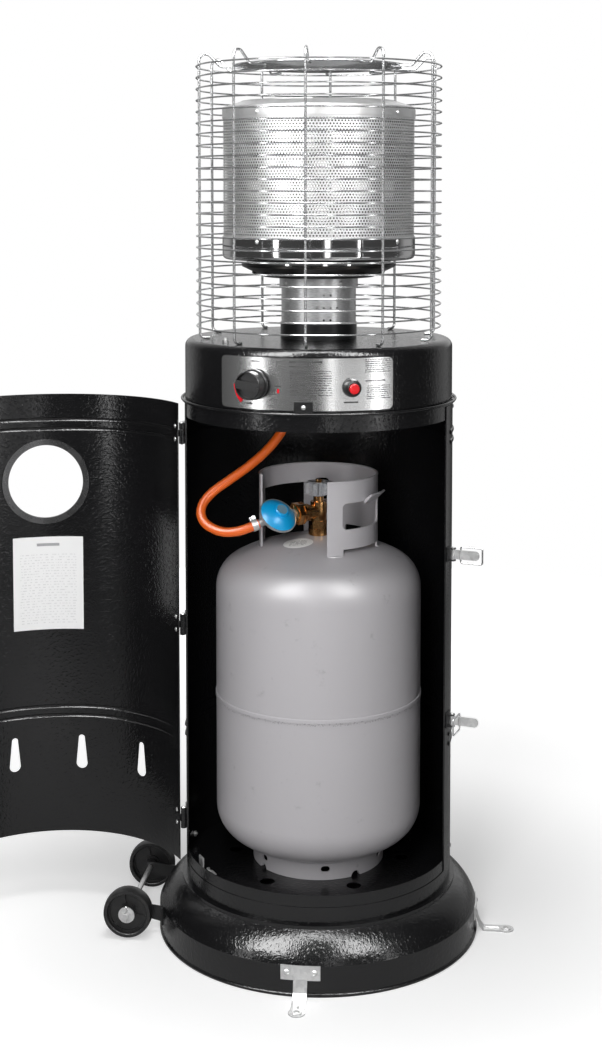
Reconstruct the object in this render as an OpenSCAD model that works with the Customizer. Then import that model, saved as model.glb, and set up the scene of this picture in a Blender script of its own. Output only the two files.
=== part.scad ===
// Gas patio heater with a round cabinet, a toggle-latched door and a caged emitter.
// Z is up from the ground, the front looks along -Y, and angles run from the front towards +X.

/* [Base] */
// Radius over the rolled hem
base_r = 248; // [244:1:256]
// Wire size of the rolled hem
hem_d = 6; // [5:0.5:8]
// Sheet of the base pressings
base_t = 1.5; // [1.2:0.1:2]
// Height of the upright band
band_h = 45; // [43:1:50]
// Radius at the top of the sloping shoulder
shoulder_r = 212; // [210:1:216]
// Height at the top of the sloping shoulder
shoulder_h = 83; // [78:1:85]
// Height of the ridge that carries the tray
ridge_h = 88; // [86:0.5:92]
// Height of the tray floor
tray_h = 108; // [104:1:110]

/* [Housing] */
// Outer radius of the rear shell and the door
shell_r = 205.7; // [203:0.1:207]
// Sheet of the rear shell and the door
shell_t = 1.2; // [1:0.1:1.5]
// Height of the lower edge of the shell above the ground
shell_z = 113; // [112:1:116]
// Height of the rear shell and the door
shell_h = 710; // [700:1:730]
// Half of the angle that the door covers
door_half = 74; // [72:1:76]
// Gap between the door and the rear shell at each upright edge
edge_gap = 0.8; // [0.6:0.1:1.2]
// Depth of the tray rim and of the skirt behind the shell
rim_depth = 17; // [15:1:19]
// Height of one pressed bead over the sheet
bead_rise = 2; // [1.5:0.1:2.2]
// Distance between the two beads of a pair
bead_pitch = 15; // [13:1:18]
// Height of the lower pair of beads above the shell's lower edge
lower_beads_h = 190; // [180:1:192]
// Height of the upper pair of beads above the shell's lower edge
upper_beads_h = 654; // [645:1:660]

/* [Door] */
// Window hole
window_d = 120; // [110:1:126]
// Width of the trim round the window
trim_w = 8; // [6:0.5:9]
// Height of the window's middle above the door's lower edge
window_h = 570; // [560:1:575]
// Angle between neighbouring vent slots
slot_step = 30; // [26:1:32]
// Width of a vent slot at its lower end
slot_wide = 18; // [14:1:20]
// Width of a vent slot at its upper end
slot_narrow = 10; // [8:1:12]
// Length of a vent slot
slot_len = 55; // [45:1:60]
// Height of a slot's lower end above the door's lower edge
slot_h = 103; // [95:1:110]
// Angle at which the door stands open
door_open = 163.5; // [90:0.5:175]

/* [Hinges and latches] */
// Height of a hinge leaf
hinge_h = 32; // [28:1:36]
// Reach of a hinge leaf from its pin
hinge_reach = 22; // [20:1:24]
// Hinge pin
hinge_pin_d = 4; // [3.6:0.1:4.4]
// Distance of the hinge pin outside the shell
hinge_out = 5.3; // [5.1:0.1:5.6]
// Length of a latch lever from its pin
lever_len = 41; // [38:1:44]
// Width of a latch lever
lever_w = 14; // [12:0.5:15]
// Length of a bail from its pivot
bail_len = 35; // [33:1:38]
// Width over a bail
bail_w = 27; // [26:0.5:29]
// Wire of a bail
bail_d = 2.5; // [2:0.1:2.8]
// Angle of the lower bail at rest, from its lever
lower_bail_angle = -90; // [-95:1:-60]

/* [Head] */
// Outer radius of the head
head_r = 204.5; // [200:0.5:206]
// Height of the head's lower edge
head_z = 827.3; // [827:0.1:829]
// Height of the head over its lower edge
head_h = 93.7; // [90:0.1:98]
// Rounding of the head's upper corner
head_round = 12; // [8:1:13]
// Half of the angle that the control plate covers
plate_half = 37; // [34:1:39]
// Control knob
knob_d = 44; // [40:1:48]
// Angle of the knob from the front
knob_angle = -20; // [-22:0.5:-18]
// Igniter button
button_d = 17.2; // [16:0.1:17.6]
// Angle of the igniter from the front
igniter_angle = 19; // [17:0.5:21]

/* [Gas cylinder] */
// Radius of the gas cylinder
tank_r = 158.5; // [154:0.5:160]
// Height of the cylinder's lower bend above the ground
tank_low = 196; // [194:1:199]
// Height of the cylinder's upper bend above the ground
tank_high = 535; // [530:1:540]
// Radius of the foot ring
foot_r = 101.4; // [98:0.1:104]
// Radius of the collar
collar_r = 91.7; // [90:0.1:95]
// Height of the collar's rim above the ground
collar_top = 712; // [705:1:716]
// Gas hose
hose_d = 14.5; // [13:0.1:15]

/* [Emitter and guard] */
// Outer radius of the burner tube
tube_r = 57; // [54:0.5:60]
// Outer radius of the emitter bands
emitter_r = 147; // [142:0.5:150]
// Height of the underside of the emitter pan
pan_z = 1041; // [1039:0.5:1044]
// Height of the emitter pan
pan_h = 34; // [30:1:38]
// Height of the free part of the perforated screen
screen_h = 179; // [170:1:182]
// Radius of a guard ring at its wire's middle
ring_r = 186; // [182:0.5:188]
// Wire of the guard rings
ring_d = 2.4; // [2:0.1:3]
// Wire of the guard uprights
rod_d = 4; // [3.6:0.1:4.6]
// Number of guard rings
ring_count = 24; // [12:1:24]
// Distance between guard rings
ring_pitch = 17.06; // [16:0.01:17.2]
// Number of guard uprights
rod_count = 10; // [6:1:12]
// Radius of the guard's top dish
dish_r = 130; // [126:1:134]

/* [Feet and wheels] */
// Wheel
wheel_d = 75; // [70:1:76]
// Tread width of a wheel
wheel_w = 22; // [18:1:24]
// Distance between the wheels' middles
wheel_track = 182; // [176:1:190]
// Axle
axle_d = 8; // [7:0.5:10]
// Radius at which the axle lies
axle_r = 284; // [282:0.5:288]
// Height of the axle
axle_h = 40; // [39.5:0.5:42]
// Radius at which the anchor eyelets lie
eyelet_r = 293; // [288:1:300]
// Anchor hole
anchor_d = 8.5; // [7:0.5:9]

/* [Hidden] */

// Clearances
seat = 0.1;
fit = 0.3;
running = 0.06;
through = 40;
round_fn = 180;
small_fn = 48;

// Housing and base
shell_in = shell_r - shell_t;
rim_r = shell_in - fit;
shell_top = shell_z + shell_h;
band_r = base_r - hem_d / 2 + 0.5;
neck_r = shell_r - 0.5;
hem_flat = 0.4;
rear_start = door_half;
rear_angle = 360 - 2 * door_half;
pin_r = shell_r + hinge_out;
hinge_pos = [-pin_r * sin(door_half), -pin_r * cos(door_half), 0];
bead_end = 23;
hem_w = 5;
pad_r = shell_r + 0.04 + seat;
pad_t = 1.5;

// Fasteners
rivet_d = 4;
rivet_head_r = 3.2;
rivet_head_h = 1.5;
screw_d = 4.8;
screw_head_r = 4.4;
screw_head_h = 2.4;
small_screw_d = 4;
small_head_r = 3.4;
anchor_screw_z = 36;
wheel_screw_z = 27;

// Hinges and latches, measured along the shell from the door's upright edges
hinge_heights = [66, 369, 664];
hinge_rivet_x = 11;
hinge_rivet_z = 10;
knuckle_r = 4.5;
knuckle_gap = 0.5;
leaf_notch = knuckle_r + 0.7;
latch_heights = [230, 485];
latch_x = 15;
latch_out = 7;
latch_pin_d = 3.8;
latch_pad_x = [5, 31];
latch_pad_z = 11;
latch_rivet_x = 26;
latch_rivet_z = 6;
ear_t = 1.5;
ear_z = lever_w / 2 + 1.2;
ear_half = 5;
barrel_r = 3.3;
bail_pivot = 12;
bail_barrel_r = 2.7;
bail_arm_z = (bail_w - bail_d) / 2;
bail_bend = 3;
strike_x = [-26, -5];
strike_z = 9;
strike_stem_x = -15;
strike_rivet_x = -9.3;
strike_rivet_z = 5.5;
strike_rise = 5;
strike_lip = 4.5;

// Head
head_t = 1.2;
head_top = head_z + head_h;
skirt_z = shell_top - rim_depth - 3;
flange_r = head_r + 5.2;
upstand_r = head_r - head_t - fit;
head_screw_z = head_z + 5.2;
hem_bead_r = 1.8;
plate_t = 0.8;
plate_r = head_r + seat + plate_t;
plate_z = head_z + 6.7;
plate_h = head_h - head_round - 7;
knob_z = head_z + 42.7;
igniter_z = head_z + 39.7;
push_travel = 3.5;
knob_s = plate_r + push_travel + 0.5;
knob_h = 22;
knob_skirt_h = 5;
knob_rim = 1.6;
grip_w = 12;
grip_sink = 7;
spindle_d = 8;
spindle_hole_r = 9.4;
washer_r = 9;
valve_s = [128, 178];
valve_r = 17;
valve_face = 201.6;
button_travel = 6;
igniter_r = 10.8;
igniter_face = plate_r + 13.6;
igniter_body_r = 8.4;
catch_w = 27;
catch_h = 16;
catch_z = head_z + 3.7;

// Gas cylinder: knuckle and crown radii of its ends
knuckle = 54;
crown = 285;
tank_t = 3;
neck_hole_r = 14;
band_rise = 1.2;
outlet_z = 651;
outlet_angle = -47;
outlet_len = 32;
stem_d = 10;
regulator_s = 78.6;
regulator_nut_h = 15.6;
regulator_tilt = 45;
dome_r = 28.5;
crimp_r = 30;
crimp_z = 4;

// The hose route: out of the regulator, round to the left and up into the head
hose_route = [[-84, -66, 642], [-98, -72, 637], [-115, -76, 632], [-135, -75, 630],
    [-153, -71, 634], [-168, -63, 642], [-175, -53, 655], [-172, -41, 669],
    [-158, -28, 684], [-135, -15, 700], [-108, -3, 719], [-81, 8, 743],
    [-60, 16, 770], [-50.9, 19.6, 796], [-50, 20, 812]];
hose_sides = 12;
hose_steps = 3;
hose_up = [0.68, -0.73, 0];
hose_end = hose_route[len(hose_route) - 1];
hose_seat = 0.4;
connector_top = hose_end[2] + hose_seat + 26;

// Burner and emitter
tube_t = 1.5;
emitter_t = 1.2;
screen_t = 1;
screen_r = emitter_r - emitter_t - fit;
screen_tuck = 7;
cone_low = 1014;
cone_r = [84, 118];
cone_rise = 16;
cone_t = 1.2;
vent_count = 12;
cap_z = pan_z + pan_h + screen_h;
cap_band = 14;
cap_rise = 11;
cap_flat_r = 119;

// Guard
ring_z = head_top + 18.6;
ring_sides = 8;
rod_r = ring_r - ring_d / 2 - rod_d / 2 + 0.5;
rod_bend = 10;
rod_foot_bend = 8;
guard_top = ring_z + ring_pitch * 24 + 1.4;
shoulder_drop = 14.26;
dish_z = guard_top - rod_bend - 8.3;
dish_t = 1;
dish_flange = 12;
dish_sag = 8.5;

function deg(mm) = mm / shell_r * 180 / PI;
function polar(r, a) = [r * sin(a), -r * cos(a)];
function arc_centre(p, q, r) =
    let (d = q - p, span = norm(d), h = sqrt(r * r - span * span / 4))
    (p + q) / 2 + h * [-d[1], d[0]] / span;

module at_angle(a, r = 0, z = 0) {
    rotate([0, 0, a]) translate([0, -r, z]) children();
}

// Children are drawn facing outwards: x along the wall, y up, z away from the axis.
module radial(a, r, z) {
    at_angle(a, r, z) rotate([90, 0, 0]) children();
}

module along(p, q) {
    v = q - p;
    translate(p) rotate([0, acos(v[2] / norm(v)), atan2(v[1], v[0])]) children();
}

module ring(r, t, z0, z1) {
    rotate_extrude($fn = round_fn) translate([r - t, z0]) square([t, z1 - z0]);
}

module arc_wall(r, t, a0, a1, z0, z1) {
    rotate([0, 0, -90]) rotate_extrude(angle = a1 - a0, start = a0, $fn = round_fn)
        translate([r - t, z0]) square([t, z1 - z0]);
}

module arc_turn(a0, a1) {
    rotate([0, 0, -90]) rotate_extrude(angle = a1 - a0, start = a0, $fn = round_fn) children();
}

// A curved strip of sheet from p to q, on the left of that direction's centre.
module arc_strip(p, q, r, t) {
    c = arc_centre(p, q, r);
    intersection() {
        translate(c) difference() {
            circle(r = r, $fn = round_fn);
            circle(r = r - t, $fn = round_fn);
        }
        polygon([c, c + (p - c) * 1.5, c + (q - c) * 1.5]);
    }
}

module rounded_rect(w, h, r) {
    square([w - 2 * r, h], center = true);
    square([w, h - 2 * r], center = true);
    for (x = [-1, 1], y = [-1, 1])
        translate([x * (w / 2 - r), y * (h / 2 - r)]) circle(r = r, $fn = small_fn);
}

module hole_through(a, z, d, r = shell_r) {
    radial(a, r - through / 2, z) cylinder(d = d, h = through, $fn = small_fn);
}

// A rivet through the wall: a dome head outside over the pad and a set head inside.
module rivet(a, z, pad = pad_t) {
    outer = pad_r + pad + seat;
    radial(a, shell_in - 1, z) cylinder(d = rivet_d - 2 * seat, h = outer - shell_in + 2, $fn = small_fn);
    radial(a, outer, z) dome_head(rivet_head_r, rivet_head_h);
    radial(a, shell_in - seat - 0.1, z) rotate([180, 0, 0]) dome_head(rivet_head_r, rivet_head_h);
}

module dome_head(r, h) {
    big = (r * r + h * h) / (2 * h);
    rotate_extrude($fn = small_fn) intersection() {
        translate([0, h - big]) circle(r = big, $fn = round_fn);
        square([r, h]);
    }
}

module hex_nut(size, h, bore) {
    difference() {
        cylinder(d = size, h = h, $fn = 6);
        translate([0, 0, -1]) cylinder(d = bore, h = h + 2, $fn = small_fn);
    }
}

// A wall screw with a pan head outside and a nut inside.
module wall_screw(a, z, r_out, r_in, d = screw_d, head = screw_head_r) {
    radial(a, r_in - 6, z) cylinder(d = d - 2 * seat, h = r_out - r_in + 6.2, $fn = small_fn);
    radial(a, r_out + seat, z) dome_head(head, screw_head_h);
    radial(a, r_in - 4, z) hex_nut(d + 4.4, 3.2, d - 2 * seat);
}

// Base
module base_shell() {
    hem_c = [base_r - hem_d / 2, hem_d / 2 - hem_flat];
    top = [shoulder_r, shoulder_h];
    color("#1b1b1d") difference() {
        rotate_extrude($fn = round_fn) {
            intersection() {
                translate(hem_c) circle(d = hem_d, $fn = small_fn);
                square([base_r + 1, hem_d]);
            }
            translate([band_r - base_t, hem_c[1]]) square([base_t, band_h - hem_c[1]]);
            arc_strip([band_r, band_h], top, 70, base_t);
            translate([shoulder_r - base_t, shoulder_h - 1]) square([base_t, ridge_h - shoulder_h + 1]);
            translate([neck_r - 2 * base_t, ridge_h - base_t])
                square([shoulder_r - neck_r + 2 * base_t, base_t]);
        }
        for (a = anchor_screw_angles()) hole_through(a, anchor_screw_z, screw_d, band_r);
        for (a = wheel_screw_angles()) hole_through(a, wheel_screw_z, screw_d, band_r);
    }
}

module base_tray() {
    neck_top = shell_z - 0.6;
    rim_top = shell_z + rim_depth;
    color("#1b1b1d") difference() {
        union() {
            ring(neck_r, base_t, ridge_h, neck_top);
            ring(neck_r, neck_r - rim_r + base_t, neck_top - base_t, neck_top);
            ring(rim_r, base_t, neck_top - base_t, rim_top);
            translate([0, 0, tray_h - base_t]) cylinder(r = neck_r - base_t / 2, h = base_t, $fn = round_fn);
            at_angle(-6, 168) rotate_extrude($fn = small_fn)
                translate([13, tray_h - 0.1]) square([3, 1.3]);
        }
        for (a = housing_screw_angles()) hole_through(a, shell_z + rim_depth / 2, screw_d);
        for (a = [0 : 60 : 359]) at_angle(a + 30, 130, tray_h - 5)
            cylinder(d = 22, h = 10, $fn = small_fn);
        bracket_place() translate([0, 0, -6]) cylinder(d = 5.2, h = 12, $fn = small_fn);
    }
}

module bracket_place() {
    at_angle(-58, 186, tray_h) children();
}

module tray_bracket() {
    color("#a9a9a5") bracket_place() {
        difference() {
            union() {
                translate([-8, -12, 0]) cube([16, 22, 2]);
                translate([-8, -12, 0]) cube([16, 2, 30]);
            }
            translate([0, 0, -1]) cylinder(d = 5.2, h = 4, $fn = small_fn);
        }
        translate([0, 0, -8]) cylinder(d = 5, h = 18, $fn = small_fn);
        translate([0, 0, 2.1]) hex_nut(9.4, 4, 5);
    }
}

module anchor_outline(inner) {
    polygon([[inner, 26], [inner + 2, 26], [base_r + 5.4, 9], [base_r + 11, 2], [eyelet_r, 2],
        [eyelet_r, 0], [base_r + 10, 0], [base_r + 3.4, 8]]);
}

module anchor_tabs() {
    inner = band_r + seat;
    half_w = 28.5;
    color("#b4b4ae") for (a = [0, 90, 180]) difference() {
        union() {
            intersection() {
                arc_wall(inner + 2, 2, a - 8, a + 8, 25, 46);
                at_angle(a, inner + 3, 36) cube([2 * half_w, 20, 22], center = true);
            }
            at_angle(a) translate([10, 0, 0]) rotate([90, 0, -90])
                linear_extrude(20) anchor_outline(inner);
            at_angle(a, eyelet_r) cylinder(r = 12, h = 2, $fn = small_fn);
            at_angle(a, eyelet_r) cylinder(r = 7.5, h = 3, $fn = small_fn);
            radial(a, base_r + 14, 2) cylinder(d = 4, h = 20, $fn = small_fn);
        }
        at_angle(a, eyelet_r, -1) cylinder(d = anchor_d, h = 6, $fn = small_fn);
        at_angle(a, base_r + 24, -5) cube([60, 60, 10], center = true);
        for (s = [-1, 1]) hole_through(a + s * deg(17), anchor_screw_z, screw_d, band_r);
    }
}

function anchor_screw_angles() = [for (a = [0, 90, 180], s = [-1, 1]) a + s * deg(17)];
function wheel_screw_angles() = [-90 - 13, -90 + 13];

module base_screws() {
    color("#c9c9c6") {
        for (a = anchor_screw_angles())
            wall_screw(a, anchor_screw_z, band_r + seat + 2, band_r - base_t);
        for (a = wheel_screw_angles())
            wall_screw(a, wheel_screw_z, band_r + seat + 2, band_r - base_t);
    }
}

// Wheels
module wheel_bracket() {
    inner = band_r + seat;
    ear_y = wheel_track / 2 - wheel_w / 2 - 6;
    color("#2a2a2c") difference() {
        union() {
            arc_wall(inner + 2, 2, -90 - 19, -90 + 19, 16, 42);
            difference() {
                for (s = [-1, 1]) translate([0, s * ear_y, 0]) rotate([90, 0, 0])
                    linear_extrude(2, center = true) {
                        translate([-axle_r, axle_h]) circle(r = 9, $fn = small_fn);
                        polygon([[-axle_r, axle_h - 9], [-axle_r, axle_h + 9], [25.5 - band_r, 42], [25.5 - band_r, 16]]);
                    }
                translate([0, 0, -1]) cylinder(r = inner + 0.5, h = 80, $fn = round_fn);
            }
        }
        translate([-axle_r, 0, axle_h]) rotate([90, 0, 0])
            cylinder(d = axle_d + 2 * running, h = 2 * wheel_track, center = true, $fn = small_fn);
        for (a = wheel_screw_angles()) hole_through(a, wheel_screw_z, screw_d, band_r);
        for (s = [-1, 1]) radial(-90 + s * 6, inner - 10, 29)
            linear_extrude(through) rounded_rect(18, 7, 3.4);
    }
}

module wheel_axle() {
    half = wheel_track / 2 + wheel_w / 2 + 9;
    color("#b4b4ae") translate([-axle_r, 0, axle_h]) difference() {
        rotate([90, 0, 0]) cylinder(d = axle_d, h = 2 * half, center = true, $fn = small_fn);
        for (s = [-1, 1]) translate([0, s * (half - 4), 0])
            cylinder(d = 2.6, h = 2 * axle_d, center = true, $fn = small_fn);
    }
}

module wheel(side) {
    rim = 7;
    color("#161617") translate([-axle_r, side * wheel_track / 2, axle_h]) rotate([90, 0, 0])
    difference() {
        rotate_extrude($fn = round_fn) {
            translate([wheel_d / 2 - rim, -wheel_w / 2 + 2]) square([rim - 1.5, wheel_w - 4]);
            for (s = [-1, 1]) translate([wheel_d / 2 - rim + 2, s * (wheel_w / 2 - 2)])
                circle(r = 2, $fn = small_fn);
            intersection() {
                translate([wheel_d / 2 - 45, 0]) circle(r = 45, $fn = round_fn);
                translate([wheel_d / 2 - rim + 2, -wheel_w / 2]) square([rim, wheel_w]);
            }
            translate([0, -wheel_w / 2]) square([9.5, wheel_w]);
            translate([9, -3]) square([wheel_d / 2 - rim - 8, 6]);
        }
        for (k = [0 : 2], z = [-4, 1]) rotate([0, 0, k * 120 - 9]) translate([0, 0, z])
            rotate_extrude(angle = 108, start = 0, $fn = round_fn) translate([13, 0])
                square([wheel_d / 2 - rim - 15.5, 3]);
        cylinder(d = axle_d + 2 * running, h = 2 * wheel_w, center = true, $fn = small_fn);
    }
}

module wheel_retainers() {
    outer = wheel_track / 2 + wheel_w / 2;
    color("#b4b4ae") for (s = [-1, 1]) {
        translate([-axle_r, s * (outer + 0.5), axle_h]) rotate([-90 * s, 0, 0]) difference() {
            cylinder(r = 12.5, h = 1.5, $fn = small_fn);
            translate([0, 0, -1]) cylinder(d = axle_d + 2 * seat, h = 4, $fn = small_fn);
        }
        translate([-axle_r, s * (outer + 5), axle_h]) {
            cylinder(d = 2.4, h = 20, center = true, $fn = small_fn);
            translate([0, 0, 11.6]) rotate([90, 0, 0]) rotate_extrude($fn = small_fn)
                translate([2.4, 0]) circle(d = 1.8, $fn = 24);
        }
    }
}

// Rear shell and door sheets
module bead_outline(z, grow) {
    translate([shell_r + bead_rise - 5, z]) circle(r = 5 - shell_t * grow, $fn = small_fn);
}

module sheet_profile(beads, hollow) {
    difference() {
        union() {
            translate([shell_in, shell_z]) square([shell_t, shell_h]);
            for (h = beads) intersection() {
                bead_outline(shell_z + h, 0);
                translate([shell_in + 0.2, shell_z]) square([shell_t + bead_rise, shell_h]);
            }
        }
        if (hollow) for (h = beads) bead_outline(shell_z + h, 1);
    }
}

// Plain edge strips, solid bead ends and the hollow beads between them.
module beaded_sheet(a0, a1, beads) {
    plain = round(deg(bead_end) * 100) / 100;
    closed = round(deg(bead_end + shell_t) * 100) / 100;
    arc_turn(a0, a0 + plain) translate([0.04, 0]) sheet_profile([], false);
    arc_turn(a0 + plain, a0 + closed) translate([-0.04, 0]) sheet_profile(beads, false);
    arc_turn(a0 + closed, a1 - closed) sheet_profile(beads, true);
    arc_turn(a1 - closed, a1 - plain) translate([-0.04, 0]) sheet_profile(beads, false);
    arc_turn(a1 - plain, a1) translate([0.04, 0]) sheet_profile([], false);
}

function bead_heights() = [lower_beads_h, lower_beads_h + bead_pitch,
    upper_beads_h, upper_beads_h + bead_pitch];
function housing_screw_angles() = [for (k = [-2 : 2]) 180 + k * 42];
function edge_angle() = round(deg(edge_gap / 2) * 100) / 100;
function hinge_z(k) = shell_z + hinge_heights[k];
function latch_z(k) = shell_z + latch_heights[k];
function shell_leaf_angle() = -door_half - deg(hinge_rivet_x);
function door_leaf_angle() = -door_half + deg(hinge_rivet_x);

// Holes for the hinge rivets in the sheet beside the hinges.
module hinge_rivet_holes(a) {
    for (k = [0 : 2], s = [-1, 1]) hole_through(a, hinge_z(k) + s * hinge_rivet_z, rivet_d);
}

module latch_rivet_holes(x, dz) {
    for (k = [0, 1], s = [-1, 1]) hole_through(door_half + deg(x), latch_z(k) + s * dz, rivet_d);
}

module rear_shell() {
    color("#1b1b1d") difference() {
        union() {
            beaded_sheet(rear_start + edge_angle(), rear_start + rear_angle - edge_angle(), bead_heights());
            for (a = [rear_start + edge_angle(), rear_start + rear_angle - edge_angle() - deg(hem_w)])
                arc_wall(shell_in + 0.1, 1, a, a + deg(hem_w), shell_z + rim_depth + 5, skirt_z - 5);
        }
        for (a = housing_screw_angles(), z = [shell_z + rim_depth / 2, shell_top - rim_depth / 2])
            hole_through(a, z, screw_d);
        hinge_rivet_holes(shell_leaf_angle());
        latch_rivet_holes(latch_rivet_x, latch_rivet_z);
    }
}

module housing_screws() {
    color("#c9c9c6") for (a = housing_screw_angles()) {
        wall_screw(a, shell_z + rim_depth / 2, shell_r, rim_r - base_t);
        wall_screw(a, shell_top - rim_depth / 2, shell_r, rim_r - head_t);
    }
}

// Moves the closed door to the place where it stands open.
module door_place() {
    translate(hinge_pos) rotate([0, 0, -door_open]) translate(-hinge_pos) children();
}

module vent_slot() {
    r0 = slot_wide / 2;
    r1 = slot_narrow / 2;
    rise = slot_len - r0 - r1;
    lean = asin((r0 - r1) / rise);
    translate([0, r0]) circle(r = r0, $fn = small_fn);
    translate([0, r0 + rise]) circle(r = r1, $fn = small_fn);
    side = [for (end = [[r0, r0], [r1, r0 + rise]]) [0, end[1]] + (end[0] - 0.05) * [cos(lean), sin(lean)]];
    polygon([side[0], side[1], [-side[1][0], side[1][1]], [-side[0][0], side[0][1]]]);
}

module door_panel() {
    color("#1b1b1d") door_place() difference() {
        union() {
            beaded_sheet(-door_half + edge_angle(), door_half - edge_angle(), bead_heights());
            for (a = [-door_half + edge_angle(), door_half - edge_angle() - deg(hem_w)])
                arc_wall(shell_in + 0.1, 1, a, a + deg(hem_w), shell_z + rim_depth + 5, skirt_z - 5);
        }
        radial(0, shell_r - through, shell_z + window_h)
            cylinder(d = window_d, h = 2 * through, $fn = round_fn);
        for (k = [-1.5 : 1 : 1.5]) radial(k * slot_step, shell_r - through / 2, shell_z + slot_h)
            linear_extrude(through) vent_slot();
        hinge_rivet_holes(door_leaf_angle());
        latch_rivet_holes(strike_rivet_x, strike_rivet_z);
    }
}

// The trim grips the sheet from both sides of the window hole.
module window_trim() {
    out_r = window_d / 2 + trim_w;
    color("#c9c9c6") door_place() difference() {
        intersection() {
            arc_wall(pad_r + 1.6, shell_t + 2 * seat + 3.24, -30, 30,
                shell_z + window_h - out_r, shell_z + window_h + out_r);
            radial(0, shell_r - through, shell_z + window_h)
                cylinder(r = out_r, h = 2 * through, $fn = round_fn);
        }
        difference() {
            arc_wall(pad_r, shell_t + 2 * seat + 0.04, -32, 32,
                shell_z + window_h - 2 * out_r, shell_z + window_h + 2 * out_r);
            radial(0, shell_r - through, shell_z + window_h)
                cylinder(r = window_d / 2 - seat, h = 2 * through, $fn = round_fn);
        }
        radial(0, shell_r - through, shell_z + window_h)
            cylinder(r = window_d / 2 - 1.6, h = 2 * through, $fn = round_fn);
    }
}

// One hinge leaf: side 1 lies on the door, side -1 on the rear shell.
module hinge_leaf(k, side) {
    z = hinge_z(k);
    knuckle_h = hinge_h / 3;
    spans = side > 0 ? [[-0.5, 0.5]] : [[-1.5, -0.5], [0.5, 1.5]];
    start = side > 0 ? -door_half + deg(leaf_notch) : -door_half - deg(hinge_reach);
    difference() {
        union() {
            arc_wall(pad_r + pad_t, pad_t, start, start + deg(hinge_reach - leaf_notch),
                z - hinge_h / 2, z + hinge_h / 2);
            for (s = spans) {
                z0 = z + s[0] * knuckle_h + (s[0] > -1 ? knuckle_gap / 2 : 0);
                z1 = z + s[1] * knuckle_h - (s[1] < 1 ? knuckle_gap / 2 : 0);
                arc_wall(pad_r + pad_t, pad_t, side > 0 ? -door_half : -door_half - deg(leaf_notch + 1),
                    side > 0 ? -door_half + deg(leaf_notch + 1) : -door_half, z0, z1);
                translate([hinge_pos[0], hinge_pos[1], z0]) cylinder(r = knuckle_r, h = z1 - z0, $fn = small_fn);
            }
        }
        translate([hinge_pos[0], hinge_pos[1], z - hinge_h])
            cylinder(d = hinge_pin_d + 2 * running, h = 2 * hinge_h, $fn = small_fn);
        for (s = [-1, 1]) hole_through(side > 0 ? door_leaf_angle() : shell_leaf_angle(),
            z + s * hinge_rivet_z, rivet_d);
    }
}

module shell_hinge_leaves() {
    color("#1b1b1d") for (k = [0 : 2]) hinge_leaf(k, -1);
}

module door_hinge_leaves() {
    color("#1b1b1d") door_place() for (k = [0 : 2]) hinge_leaf(k, 1);
}

module hinge_pins() {
    color("#a9a9a5") for (k = [0 : 2]) translate([hinge_pos[0], hinge_pos[1], hinge_z(k)]) {
        translate([0, 0, -hinge_h / 2 - 1]) cylinder(d = hinge_pin_d, h = hinge_h + 1.2, $fn = small_fn);
        translate([0, 0, hinge_h / 2 + seat]) dome_head(hinge_pin_d * 0.85, 2);
        translate([0, 0, -hinge_h / 2 - seat]) rotate([180, 0, 0]) dome_head(hinge_pin_d * 0.75, 1.5);
    }
}

module shell_rivets() {
    color("#c9c9c6") {
        for (k = [0 : 2], s = [-1, 1]) rivet(shell_leaf_angle(), hinge_z(k) + s * hinge_rivet_z);
        for (k = [0, 1], s = [-1, 1])
            rivet(door_half + deg(latch_rivet_x), latch_z(k) + s * latch_rivet_z);
    }
}

module door_rivets() {
    color("#c9c9c6") door_place() {
        for (k = [0 : 2], s = [-1, 1]) rivet(door_leaf_angle(), hinge_z(k) + s * hinge_rivet_z);
        for (k = [0, 1], s = [-1, 1])
            rivet(door_half + deg(strike_rivet_x), latch_z(k) + s * strike_rivet_z);
    }
}

// Hooked strikes: a pad, a stem that stands out and a lip that holds the bail.
module door_strikes() {
    stem = door_half + deg(strike_stem_x);
    color("#2a2a2c") door_place() for (k = [0, 1]) difference() {
        union() {
            arc_wall(pad_r + pad_t, pad_t, door_half + deg(strike_x[0]), door_half + deg(strike_x[1]),
                latch_z(k) - strike_z, latch_z(k) + strike_z);
            arc_wall(pad_r + pad_t + strike_rise, strike_rise + pad_t / 2, stem, stem + deg(1.6),
                latch_z(k) - strike_z + 1, latch_z(k) + strike_z - 1);
            arc_wall(pad_r + pad_t + strike_rise, pad_t, stem - deg(strike_lip), stem + deg(1.6),
                latch_z(k) - strike_z + 1, latch_z(k) + strike_z - 1);
        }
        for (s = [-1, 1]) hole_through(door_half + deg(strike_rivet_x),
            latch_z(k) + s * strike_rivet_z, rivet_d);
    }
}

// Latches: children stand at the pin of latch k, with -y away from the shell.
module latch_place(k) {
    at_angle(door_half, shell_r, latch_z(k)) translate([latch_x, -latch_out, 0]) children();
}

module latch_brackets() {
    color("#2a2a2c") for (k = [0, 1]) difference() {
        union() {
            arc_wall(pad_r + pad_t, pad_t, door_half + deg(latch_pad_x[0]),
                door_half + deg(latch_pad_x[1]), latch_z(k) - latch_pad_z, latch_z(k) + latch_pad_z);
            difference() {
                latch_place(k) for (s = [-1, 1]) translate([0, 0, s * (ear_z + ear_t / 2)])
                    linear_extrude(ear_t, center = true) {
                        circle(r = ear_half - 0.6, $fn = small_fn);
                        translate([-ear_half, 0]) square([2 * ear_half, latch_out + 4]);
                    }
                cylinder(r = pad_r + pad_t / 2, h = 2 * shell_top, $fn = round_fn);
            }
        }
        latch_place(k) cylinder(d = latch_pin_d + 2 * running, h = through, center = true, $fn = small_fn);
        for (s = [-1, 1]) hole_through(door_half + deg(latch_rivet_x),
            latch_z(k) + s * latch_rivet_z, rivet_d);
    }
}

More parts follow.
